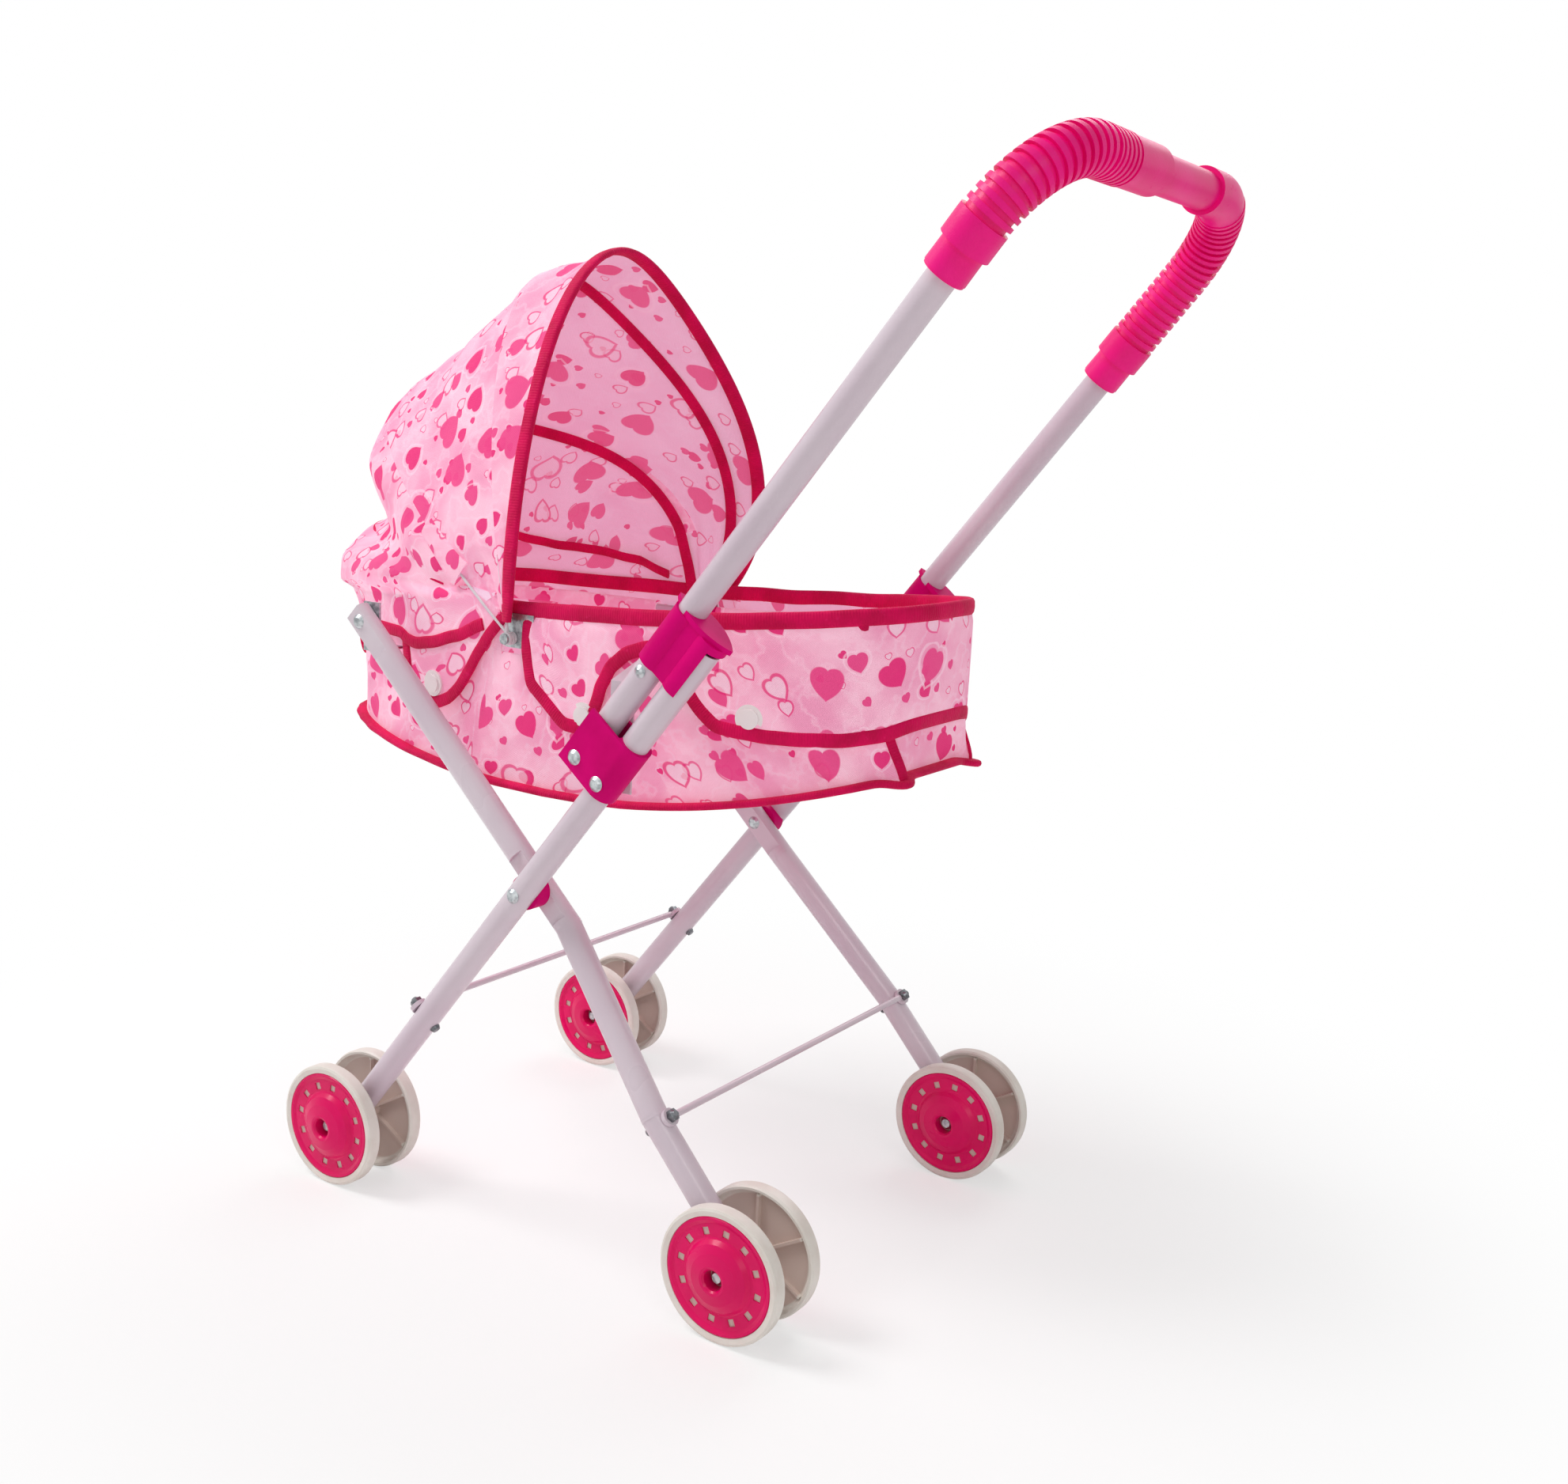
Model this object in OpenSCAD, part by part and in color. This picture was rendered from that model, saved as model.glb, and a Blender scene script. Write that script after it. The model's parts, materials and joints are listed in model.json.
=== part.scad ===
// Doll stroller with a folding X-frame, a swinging handle, a fabric basket and a folding canopy.
// +Z is up, -X is the head end (the way it is pushed), +X is the handle end, -Y is its left side.
// The origin lies on the ground, under the middle of the stroller's outer box.

/* [Frame] */
// Distance between the front and rear axles
wheelbase = 266; // [240:1:300]
// Distance between the middle planes of the two front legs
track = 228.6; // [224:0.2:260]
// Outer diameter of every painted tube
tube_d = 14; // [12:0.5:15]
// Wall of every painted tube
tube_wall = 0.8; // [0.6:0.1:1.4]
// Angle of the front legs above the ground
leg_angle = 51.66; // [48:0.02:55]
// Distance from the front axle to the crossing rivet, along the front leg
crossing_along = 197; // [190:0.2:206]
// Sideways step between the front leg's middle plane and the rear leg's at the crossing
crossing_step = 15.8; // [15:0.1:18]
// Thickness of the flattened stretches of the rear leg
flat_t = 9; // [8:0.5:10]
// Distance from the front axle to the front cross wire's bolts, along the front leg
front_wire_along = 92; // [80:1:110]
// Distance from the front axle to the bracket's rivets, along the front leg
bracket_along = 282.6; // [276:0.2:290]
// Diameter of the cross wires
wire_d = 3.6; // [3:0.1:4.5]
// Diameter of the crossing, pivot and bracket rivets
rivet_d = 4; // [3:0.1:5]

/* [Handle] */
// Distance between the front leg's axis and the handle arm's axis beside it
arm_offset = 17.7; // [17:0.1:20]
// Length of the handle arm from its pivot to the crossbar's axis
arm_length = 356.6; // [320:0.2:380]
// Bend radius of the handle tube at its corners
corner_r = 45; // [35:1:55]
// Length of each ribbed grip, along the tube
grip_length = 152; // [140:1:156]
// Distance from the bend to the lower end of the left grip
grip_lead_left = 23; // [15:1:30]
// Distance from the bend to the lower end of the right grip
grip_lead_right = 66; // [58:1:74]
// Wall of the smooth stretches of the grips
grip_wall = 2.9; // [1.6:0.1:3]
// Height of the grip's ribs above its smooth stretches
rib_height = 1.7; // [1:0.1:3]
// Number of ribs on each grip
rib_count = 20; // [12:1:24]

/* [Bracket and slider] */
// Thickness of the bracket's cheeks
cheek_t = 1.7; // [1.2:0.1:2]
// Length of the bracket along the leg
bracket_length = 33; // [30:1:36]
// Length of the slider along the handle arm, without its flange
slider_length = 33; // [28:1:36]
// Wall of the slider's sleeves
slider_wall = 1.3; // [1:0.1:1.4]
// Thickness of the slider's flange
flange_t = 2.6; // [2:0.1:4]
// Distance from the handle pivot to the slider's lower end
slider_along = 64; // [60:1:70]

/* [Wheels] */
// Outer diameter of each wheel
wheel_d = 68; // [60:1:72]
// Width of each wheel
wheel_w = 8; // [7:0.5:10]
// Gap between the two wheels of a pair
twin_gap = 22.6; // [20:0.2:26]
// Diameter of the pressed-in disc
disc_d = 59.6; // [50:0.2:60]
// How far the disc's dome stands out of the wheel
dome_rise = 4.6; // [1:0.2:6]
// Number of slots round the disc
slot_count = 12; // [8:1:16]
// Diameter of the axle bolts
axle_d = 5; // [4:0.1:6]

/* [Basket] */
// Distance from mid wheelbase to the basket's middle, towards the head end
basket_back = 27; // [24:1:30]
// Half of the basket's length at the rim
rim_half_l = 190; // [184:1:194]
// Half of the basket's width at the rim
rim_half_w = 79; // [70:1:79]
// Height of the rim at the head end
rim_low_z = 329; // [326:1:334]
// Rise of the rim from the head end to the handle end
rim_rise = 18; // [12:1:22]
// Diameter of the rim wire
rim_wire_d = 4.4; // [3.6:0.1:5]
// Height of the basket's bottom at mid length
floor_z = 232; // [228:1:240]
// Thickness of the fabric solids
fabric_t = 2; // [1.6:0.1:3]
// Depth of the outer band below the rim
band_depth = 56; // [40:1:62]
// Thickness of the tabs at the rear legs' tops
tab_t = 1.3; // [1:0.1:2]
// Width of those tabs
tab_w = 12; // [10:1:16]
// Height of those tabs
tab_h = 27; // [24:1:32]
// Distance from their pivots down to their feet
tab_drop = 17; // [14:1:20]

/* [Canopy] */
// Distance from mid wheelbase to the canopy's hinge, towards the head end
hinge_back = 50; // [44:1:56]
// Height of the canopy's hinge
hinge_z = 312; // [308:1:314]
// Half width of the rear hoop
hoop_half_w = 86.8; // [86:0.1:87]
// Reach of the rear hoop from the hinge to its top
hoop_reach = 203; // [190:1:208]
// Diameter of the hoop wire
hoop_d = 1.6; // [1.4:0.1:1.7]
// Angles of the rear, middle and front hoops above the handle side
hoop_angles = [90, 104, 143];
// How much less than the rear hoop's reach each hoop and the hood have
hoop_drops = [0, 6, 9, 12];
// Lean of the hoops towards the handle at their right feet, in degrees
hoop_lean = 46; // [0:1:60]

/* [Hidden] */
$fn = 48;

tube_r = tube_d / 2;
bore_r = tube_r - tube_wall;
rivet_r = rivet_d / 2;
bolt_r = 1.5;
head_r = rivet_r + 1.9;
head_t = 1.4;
axle_r = axle_d / 2;
wheel_r = wheel_d / 2;
// Radial clearance of a turning or sliding fit, and of a pressed one
run_gap = 0.05;
fit_gap = 0.01;
// Space kept between loose neighbours
gap = 0.3;

// Unit vectors along the front leg, and square to it towards the head end
leg_u = [cos(leg_angle), 0, sin(leg_angle)];
leg_n = [-sin(leg_angle), 0, cos(leg_angle)];
leg_y = track / 2;
rear_y = leg_y - crossing_step;
front_axle = [-wheelbase / 2, 0, wheel_r];
rear_axle = [wheelbase / 2, 0, wheel_r];
crossing = front_axle + leg_u * crossing_along;
pivot = front_axle + leg_u * bracket_along + leg_n * arm_offset;
crossbar = pivot + leg_u * arm_length;

// The rear leg's top, and the end of its outward slant below the crossing
rear_top = crossing + [-131.2, 0, 123.5];
step_end = crossing + [89.1, 0, -95.1];

// Slider, measured along the leg from the front axle
slider_start = bracket_along + slider_along;
slider_end = slider_start + slider_length + flange_t;
slider_bore_r = tube_r + run_gap;
slider_r = slider_bore_r + slider_wall;
stub_end = slider_end - flange_t - 6;

grip_bore_r = tube_r + fit_gap;
grip_r = grip_bore_r + grip_wall;
rib_r = grip_r + rib_height;
bar_half = track / 2 - corner_r;
bend_len = corner_r * PI / 2;
arm_straight = arm_length - corner_r;

rim_wire_r = rim_wire_d / 2;
rim_inset = fabric_t + rim_wire_r + gap + 0.1;
hinge = [-hinge_back, 0, hinge_z];
hoop_r = hoop_d / 2;
layer = hoop_d + gap;
// The tub is cut away between these, so that the rim wire lies bare for the canopy's clamp
notch = [hinge[0] - 9, hinge[0] + 33];
// The hood's ellipse, how far it swells over the rim, and how high that swelling is
hood_h = hoop_reach - hoop_drops[3];
hood_w = hoop_half_w - 3 * layer;
hood_swell = 1.06;
hood_low = 8;
reach_head = hinge_back + sqrt(pow(hood_h * hood_swell, 2) - pow(hood_low, 2));
reach_handle = crossbar[0] + rib_r;
// Moves the whole stroller so that its origin is under the middle of its outer box
origin_x = (reach_head - reach_handle) / 2;

LEFT = -1;
RIGHT = 1;
SIDES = [LEFT, RIGHT];
PAINT = "#dccfdb";
MAGENTA = "#b8096e";
PINK = "#f0288c";
STEEL = "#b9bcc2";
FABRIC = "#f4a9c7";
TYRE = "#e6e1dc";

function unit(v) = v / norm(v);
function at_side(p, y) = [p[0], y, p[2]];
function pow_abs(v, p) = sign(v) * pow(abs(v), p);

// ---- Helpers -------------------------------------------------------------------------------

module place() translate([origin_x, 0, 0]) children();

// Draws the left-hand children, mirrored for the right side
module handed(side)
    if (side == RIGHT) mirror([0, 1, 0]) children();
    else children();

// Puts the children's X, Y and Z axes along x, y and z, at o
module axes(o, x, y, z)
    multmatrix([[x[0], y[0], z[0], o[0]], [x[1], y[1], z[1], o[1]], [x[2], y[2], z[2], o[2]]]) children();

// A round rod from a to b; its start angle is set by a fixed side vector
module rod(a, b, r) {
    z = unit(b - a);
    side = abs(z[1]) > 0.9 ? [1, 0, 0] : [0, 1, 0];
    y = unit(cross(z, side));
    axes(a, cross(y, z), y, z) cylinder(h = norm(b - a), r = r);
}

module along_y(p, y0, y1, r, r2 = undef)
    translate([p[0], y0, p[2]]) rotate([-90, 0, 0])
        cylinder(h = y1 - y0, r1 = r, r2 = is_undef(r2) ? r : r2);

// Straight rods along path p that run a little past its corners, for slight bends
module mitred_rod(p, r, past)
    for (i = [0 : len(p) - 2]) {
        d = unit(p[i + 1] - p[i]);
        rod(p[i] - d * (i == 0 ? 0 : past), p[i + 1] + d * (i + 2 == len(p) ? 0 : past), r);
    }

// A closed solid through rings of equal length; each end is closed by a fan to its centre
module loft(rings) {
    n = len(rings[0]);
    m = len(rings);
    mean = function (ring) [for (k = [0 : 2]) [for (q = ring) q[k]] * [for (q = ring) 1] / n];
    points = concat([for (ring = rings) each ring], [mean(rings[0]), mean(rings[m - 1])]);
    polyhedron(points = points, faces = concat(
        [for (i = [0 : m - 2], j = [0 : n - 1]) each let (k = (j + 1) % n)
            [[i * n + j, (i + 1) * n + j, i * n + k], [i * n + k, (i + 1) * n + j, (i + 1) * n + k]]],
        [for (j = [0 : n - 1]) [m * n, j, (j + 1) % n]],
        [for (j = [0 : n - 1]) [m * n + 1, (m - 1) * n + (j + 1) % n, (m - 1) * n + j]]));
}

// A closed ring solid: like a loft whose last ring joins the first
module loft_loop(rings) {
    n = len(rings[0]);
    m = len(rings);
    polyhedron(points = [for (ring = rings) each ring], faces =
        [for (i = [0 : m - 1], j = [0 : n - 1]) each let (k = (j + 1) % n, l = (i + 1) % m)
            [[i * n + j, l * n + j, i * n + k], [i * n + k, l * n + j, l * n + k]]]);
}

// A round section across a path at p, which runs in direction d
function section(p, d, r, n) = let (x = unit(cross(d, [0.31, 0.9, 0.17])), y = cross(d, x))
    [for (j = [0 : n - 1]) p + r * (cos(j * 360 / n) * x + sin(j * 360 / n) * y)];

// ---- Front legs and their bracket ----------------------------------------------------------

module front_leg(side) {
    a = at_side(front_axle, side * leg_y);
    color(PAINT) place() difference() {
        rod(a - leg_u * (axle_r + 5), a + leg_u * stub_end, tube_r);
        rod(a + leg_u * (axle_r + 6), a + leg_u * (stub_end + 1), bore_r);
        along_y(a, a[1] - tube_d, a[1] + tube_d, axle_r + fit_gap);
        along_y(crossing, a[1] - tube_d, a[1] + tube_d, rivet_r + fit_gap);
        along_y(front_axle + leg_u * bracket_along, a[1] - tube_d, a[1] + tube_d, rivet_r + fit_gap);
        rod(a + leg_u * front_wire_along - leg_n * tube_d, a + leg_u * front_wire_along + leg_n * tube_d,
            bolt_r + fit_gap);
    }
}

eye_r = 4.6;
eye_h = 2.4;

// Puts the children at p on the leg's axis, with Z along the leg's outward face direction n
module on_face(p, side, n) axes(at_side(p, side * leg_y), [0, 1, 0], cross(n, [0, 1, 0]), n) children();

// Cross wire with a flattened eye at each end, bolted on the legs' outer faces
module cross_wire(p, n)
    color(STEEL) place() difference() {
        union() {
            along_y(p + n * (tube_r + 2 * run_gap + wire_d / 2), 3.6 - leg_y, leg_y - 3.6, wire_d / 2);
            for (side = SIDES) on_face(p, side, n) translate([0, 0, tube_r + run_gap])
                cylinder(h = eye_h, r = eye_r);
        }
        for (side = SIDES) on_face(p, side, n) cylinder(h = 2 * tube_d, r = bolt_r + fit_gap);
    }

// Bolts through the legs: a round head behind, a domed hexagon nut on the wire's eye
module wire_bolts(p, n) {
    nut_z = tube_r + eye_h + 2 * run_gap;
    color(STEEL) place() for (side = SIDES) on_face(p, side, n) {
        translate([0, 0, -tube_r - 1]) cylinder(h = nut_z + tube_r + 3, r = bolt_r);
        translate([0, 0, -tube_r - run_gap - 1.8]) cylinder(h = 1.8, r1 = 2, r2 = 2.8);
        translate([0, 0, nut_z]) cylinder(h = 2.4, r = 3.4, $fn = 6);
        translate([0, 0, nut_z + 2.3]) cylinder(h = 1.5, r1 = 2.7, r2 = 1.4);
    }
}

// A rivet through y0..y1 with a domed head at each end
module rivet(p, y0, y1, r = rivet_r, head = head_r) {
    along_y(p, y0, y1, r);
    along_y(p, y1, y1 + head_t, head, head * 0.6);
    along_y(p, y0 - head_t, y0, head * 0.6, head);
}

cheek_in = tube_r + gap;
cheek_out = cheek_in + cheek_t;

// U-channel on the front leg: two cheeks that hold the handle arm and a round back on the leg
module hinge_bracket(side) {
    y = side * leg_y;
    start = bracket_along - 6.5;
    base = at_side(front_axle, y) + leg_u * start;
    front = arm_offset + 7.6;
    color(MAGENTA) place() difference() {
        axes(base, leg_n, [0, 1, 0], leg_u) difference() {
            union() {
                cylinder(h = bracket_length, r = cheek_out);
                translate([0, -cheek_out, 0]) cube([front, 2 * cheek_out, bracket_length]);
            }
            translate([0, 0, -1]) cylinder(h = bracket_length + 2, r = tube_r + fit_gap);
            translate([tube_r - 1.6, -cheek_in, -1]) cube([front, 2 * cheek_in, bracket_length + 2]);
        }
        along_y(pivot, y - tube_d, y + tube_d, rivet_r + fit_gap);
        along_y(front_axle + leg_u * bracket_along, y - tube_d, y + tube_d, rivet_r + fit_gap);
    }
}

module handle_pivot_rivets()
    color(STEEL) place() for (side = SIDES)
        rivet(pivot, side * leg_y - cheek_out, side * leg_y + cheek_out);

strap_t = 1.2;

module bracket_rivets()
    color(STEEL) place() for (side = SIDES) {
        outer = side * (leg_y + cheek_out);
        inner = side * (leg_y - cheek_out - strap_t - 2 * run_gap);
        rivet(front_axle + leg_u * bracket_along, min(outer, inner), max(outer, inner));
    }

// ---- Rear legs -----------------------------------------------------------------------------

head_u = unit(rear_top - crossing);
wheel_u = unit(rear_axle - step_end);
rear_n = [-wheel_u[2], 0, wheel_u[0]];
rear_wire = step_end + wheel_u * 5;
// Half lengths of the flattened stretches
flat_cross = 21;
flat_top = 24;

// Two slabs beside the tube at p that leave thickness flat_t between them, along direction d
module squeeze(p, d, from, to)
    axes(at_side(p, LEFT * rear_y), d, [0, 1, 0], cross(d, [0, 1, 0])) for (s = SIDES)
        translate([from, s > 0 ? flat_t / 2 : -flat_t / 2 - tube_d, -tube_d])
            cube([to - from, tube_d, 2 * tube_d]);

// Bent leg tube: flat at its top end and at the crossing, below which it slants outwards
module rear_leg(side) {
    outer = LEFT * leg_y;
    axle = at_side(rear_axle, outer);
    top = at_side(rear_top, LEFT * rear_y);
    cross_at = at_side(crossing, LEFT * rear_y);
    low = cross_at - head_u * (flat_cross + 4);
    bend = at_side(step_end, outer);
    slant = unit(bend - low);
    color(PAINT) place() handed(side) difference() {
        mitred_rod([top + head_u * 7, low, bend, axle + wheel_u * (axle_r + 5)], tube_r, 1.5);
        mitred_rod([low + slant * 3, bend, axle + wheel_u * tube_d], bore_r, 2);
        rod(cross_at + head_u * (flat_cross + 2), top - head_u * (flat_top + 1), bore_r);
        axes(top, head_u, [0, 1, 0], cross(head_u, [0, 1, 0]))
            translate([-flat_top - 4, -flat_t / 2 + tube_wall, 2 - bore_r])
                cube([flat_top + tube_d, flat_t - 2 * tube_wall, 2 * bore_r - 4]);
        squeeze(rear_top, head_u, -flat_top, tube_d);
        squeeze(crossing, head_u, -flat_cross, flat_cross);
        along_y(crossing, -rear_y - tube_d, -rear_y + tube_d, rivet_r + run_gap);
        along_y(rear_top, -rear_y - tube_d, -rear_y + tube_d, rivet_r + fit_gap);
        along_y(rear_axle, outer - tube_d, outer + tube_d, axle_r + fit_gap);
        rod(at_side(rear_wire, outer) - rear_n * tube_d, at_side(rear_wire, outer) + rear_n * tube_d,
            bolt_r + fit_gap);
    }
}

// Rivets that pin each front leg to its rear leg, headed outside and inside
module crossing_rivets()
    color(STEEL) place() for (side = SIDES) {
        outer = side * (leg_y + tube_r);
        inner = side * (rear_y - flat_t / 2 - run_gap);
        rivet(crossing, min(outer, inner), max(outer, inner), rivet_r, head_r);
    }

// Saddle washers that fill the step between the crossing tubes
module crossing_spacers()
    color(MAGENTA) place() for (side = SIDES) {
        inner = side * (rear_y + flat_t / 2 + run_gap);
        outer = side * (leg_y - 2);
        difference() {
            along_y(crossing, min(outer, inner), max(outer, inner), tube_r + 2);
            rod(at_side(crossing, side * leg_y) - leg_u * 30,
                at_side(crossing, side * leg_y) + leg_u * 30, tube_r + fit_gap);
            along_y(crossing, -track, track, rivet_r + fit_gap);
        }
    }

// Rivets in the legs' tops, headed outside; they end flush inside, where each leg leaves its tab
module leg_top_rivets()
    color(STEEL) place() for (side = SIDES) {
        outer = side * (rear_y + flat_t / 2);
        inner = side * (rear_y - flat_t / 2);
        along_y(rear_top, min(outer, inner), max(outer, inner), rivet_r);
        if (side > 0) along_y(rear_top, outer, outer + head_t, head_r, head_r * 0.6);
        else along_y(rear_top, outer - head_t, outer, head_r * 0.6, head_r);
    }

// ---- Handle --------------------------------------------------------------------------------

// The handle's own frame: its origin midway between the pivots, Z along the arms
module handle_frame() place() axes(pivot, leg_n, [0, 1, 0], leg_u) children();

module arm_rod(side, u0, u1, r0, r1)
    translate([0, side * leg_y, u0]) cylinder(h = u1 - u0, r1 = r0, r2 = r1);

module bend_rod(side, a0, a1, r)
    axes([0, side * bar_half, arm_straight], [0, side, 0], [0, 0, 1], [side, 0, 0])
        rotate([0, 0, a0]) rotate_extrude(angle = a1 - a0) translate([corner_r, 0]) circle(r);

module bar_rod(y0, y1, r0, r1)
    translate([0, y0, arm_length]) rotate([-90, 0, 0]) cylinder(h = y1 - y0, r1 = r0, r2 = r1);

module handle_form(r, extra) {
    for (side = SIDES) {
        arm_rod(side, -5 - extra, arm_straight, r, r);
        bend_rod(side, 0, 90, r);
    }
    bar_rod(-bar_half, bar_half, r, r);
}

module handle_tube()
    color(PAINT) handle_frame() difference() {
        handle_form(tube_r, 0);
        handle_form(bore_r, 1);
        translate([0, -track, 0]) rotate([-90, 0, 0]) cylinder(h = 2 * track, r = rivet_r + run_gap);
        for (side = SIDES) translate([0, side * leg_y, slider_along - 5]) rotate([90, 0, 0])
            cylinder(h = tube_d, r = rivet_r + fit_gap);
    }

// Domed rivets on the handle arms that stop the sliders
module slider_stop_rivets()
    color(STEEL) place() for (side = SIDES) {
        p = pivot + leg_u * (slider_along - 5);
        y = side * leg_y;
        along_y(p, y - tube_r - 0.4, y - tube_r + 3, rivet_r);
        along_y(p, y - tube_r - 1.5, y - tube_r, rivet_r * 0.6, head_r * 0.8);
    }

// A stretch of a grip from s0 to s1 along the tube, counted from the start of the bend
module grip_piece(side, s0, s1, r0, r1) {
    if (s0 < 0) arm_rod(side, arm_straight + s0, arm_straight + min(s1, 0), r0, r1);
    if (s1 > 0 && s0 < bend_len)
        bend_rod(side, max(s0, 0) / bend_len * 90, min(s1, bend_len) / bend_len * 90, max(r0, r1));
    if (s1 > bend_len) {
        near = max(s0, bend_len) - bend_len;
        far = s1 - bend_len;
        if (side > 0) bar_rod(bar_half - far, bar_half - near, r1, r0);
        else bar_rod(-bar_half + near, -bar_half + far, r0, r1);
    }
}

cuff_l = 15;
collar_l = 12;
tail_l = 34;

// A ribbed grip: cuff, stepped collar, bellows ribs, then a smooth elbow
module grip(side, lead) {
    start = -lead;
    ribs_from = start + cuff_l + collar_l;
    ribs_to = start + grip_length - tail_l;
    pitch = (ribs_to - ribs_from) / rib_count;
    end = start + grip_length;
    color(PINK) handle_frame() difference() {
        union() {
            grip_piece(side, start, end - 1, grip_r, grip_r);
            grip_piece(side, start + 1, start + cuff_l, grip_r + 0.4, grip_r + 0.2);
            grip_piece(side, start + cuff_l - 1, ribs_from, rib_r + 0.4, rib_r + 0.4);
            for (i = [0 : rib_count - 1])
                grip_piece(side, ribs_from + (i + 0.5) * pitch, ribs_from + i * pitch + pitch,
                    rib_r, rib_r);
            grip_piece(side, ribs_to, end, rib_r - 0.4, rib_r - 0.4);
        }
        handle_form(grip_bore_r, 0);
    }
}

module crossbar_sleeve() {
    y0 = -bar_half + (grip_length - grip_lead_left - bend_len);
    y1 = bar_half - (grip_length - grip_lead_right - bend_len);
    color(PINK) handle_frame() difference() {
        bar_rod(y0, y1, grip_r - 0.8, grip_r - 0.8);
        bar_rod(y0 - 1, y1 + 1, grip_bore_r, grip_bore_r);
    }
}

// ---- Sliders -------------------------------------------------------------------------------

// Flanged double sleeve: a closed one on the handle arm and an open one that clips over the stub
module slider(side) {
    base = at_side(front_axle, side * leg_y) + leg_u * slider_start;
    body_h = slider_length;
    color(MAGENTA) place() axes(base, leg_n, [0, 1, 0], leg_u) difference() {
        union() {
            translate([arm_offset, 0, 0]) cylinder(h = body_h, r = slider_r);
            translate([0, 0, 0]) cylinder(h = body_h, r = slider_r);
            translate([0, -slider_r + 1.6, 0]) cube([arm_offset, 2 * slider_r - 3.2, body_h]);
            translate([0, 0, body_h]) flange();
        }
        translate([arm_offset, 0, -1]) cylinder(h = body_h + flange_t + 2, r = slider_bore_r);
        // Room for the stub, open towards the handle end
        translate([0, 0, -1]) cylinder(h = body_h - 3, r = tube_r + gap);
        translate([-slider_r - 1, -tube_r - gap, -1])
            cube([slider_r + 1, 2 * (tube_r + gap), body_h - 3]);
    }
}

// Pointed oval plate, a little wider than the two sleeves
module flange() {
    reach_x = (arm_offset + 2 * slider_r + 5) / 2;
    bow = 27;
    translate([arm_offset / 2, 0, 0]) intersection() {
        translate([0, bow - slider_r - 0.01, 0]) cylinder(h = flange_t, r = bow, $fn = 96);
        translate([0, slider_r + 0.01 - bow, 0]) cylinder(h = flange_t, r = bow, $fn = 96);
        translate([-reach_x, -slider_r, 0]) cube([2 * reach_x, 2 * slider_r, flange_t]);
    }
}

// ---- Wheels --------------------------------------------------------------------------------

// Places a wheel part: its own Z runs from its outer face towards the leg
module at_wheel(axle, side, outer) {
    out = outer ? side : -side;
    place() translate([axle[0], side * leg_y + out * (twin_gap / 2 + wheel_w), axle[2]])
        rotate([out * 90, 0, 0]) children();
}

web_z = 2.6;
web_t = 1.6;
hub_r = axle_r + 3;
hub_end = wheel_w + twin_gap / 2 - tube_r - gap;
slot_mid = disc_d * 0.377;
slot_size = 3.8;
// Raised ring of the web that shows through the disc's slots
land_in = slot_mid - slot_size / 2 - 0.8;
land_out = slot_mid + slot_size / 2 + 0.8;
land_z = web_z - 0.5;

// Hollow moulded wheel: tread ring, recessed web, hub and ribs, open towards its twin
module wheel(axle, side, outer)
    color(TYRE) at_wheel(axle, side, outer) difference() {
        union() {
            rotate_extrude($fn = 96) polygon([[0, web_z], [land_in, web_z], [land_in, land_z],
                [land_out, land_z], [land_out, web_z], [disc_d / 2 - 1, web_z],
                [disc_d / 2 + fit_gap, 1], [disc_d / 2 + fit_gap, 0.6], [wheel_r - 1.6, 0],
                [wheel_r - 0.4, 0.5], [wheel_r, 1.6], [wheel_r, wheel_w - 1.2],
                [wheel_r - 0.8, wheel_w], [wheel_r - 2, wheel_w], [wheel_r - 3.4, web_z + web_t + 1],
                [wheel_r - 4.4, web_z + web_t], [hub_r, web_z + web_t], [hub_r, hub_end],
                [0, hub_end]]);
            for (i = [0 : 5]) rotate([0, 0, i * 60 + 30])
                translate([hub_r - 1, -0.7, web_z + web_t - 0.5]) cube([wheel_r - 2.6 - hub_r, 1.4, 3]);
        }
        translate([0, 0, -1]) cylinder(h = hub_end + 2, r = axle_r + run_gap);
    }

// Pressed-in disc: slotted outer band, domed middle and a recessed hub
module disc(axle, side, outer)
    color(PINK) at_wheel(axle, side, outer) difference() {
        seat_z = web_z - run_gap;
        band_z = land_z - 0.75;
        dome_r = land_in - 1.4;
        rotate_extrude($fn = 96) polygon([[axle_r + 2.6, seat_z], [land_in - fit_gap, seat_z],
            [land_in - fit_gap, land_z - run_gap], [land_out + fit_gap, land_z - run_gap],
            [land_out + fit_gap, seat_z], [disc_d / 2 - 1.1, seat_z], [disc_d / 2 - 0.1, 1.1],
            [disc_d / 2 - 0.6, 0.3], [disc_d / 2 - 1.8, 0.4], [disc_d / 2 - 3.6, band_z],
            [dome_r + 1.2, band_z], [dome_r + 0.3, band_z - 0.5], [dome_r - 1.5, -1.2],
            [dome_r * 0.7, -3.2], [axle_r + 4.6, -dome_rise], [axle_r + 3.4, -dome_rise + 0.2],
            [axle_r + 2.6, -dome_rise + 1.2]]);
        for (i = [0 : slot_count - 1]) rotate([0, 0, i * 360 / slot_count + 8])
            translate([slot_mid - slot_size / 2, -slot_size / 2, -2])
                cube([slot_size, slot_size, land_z + 2]);
    }

// Axle bolt with a round head outside each wheel of the pair
module axle(p, side) {
    half = twin_gap / 2 + wheel_w - web_z + 1.4;
    y = side * leg_y;
    color(STEEL) place() {
        along_y(p, y - half, y + half, axle_r);
        along_y(p, y - half - 1.6, y - half + 0.2, axle_r, axle_r + 1.4);
        along_y(p, y + half - 0.2, y + half + 1.6, axle_r + 1.4, axle_r);
    }
}

// ---- Basket --------------------------------------------------------------------------------

RIM_N = 48;
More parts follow.
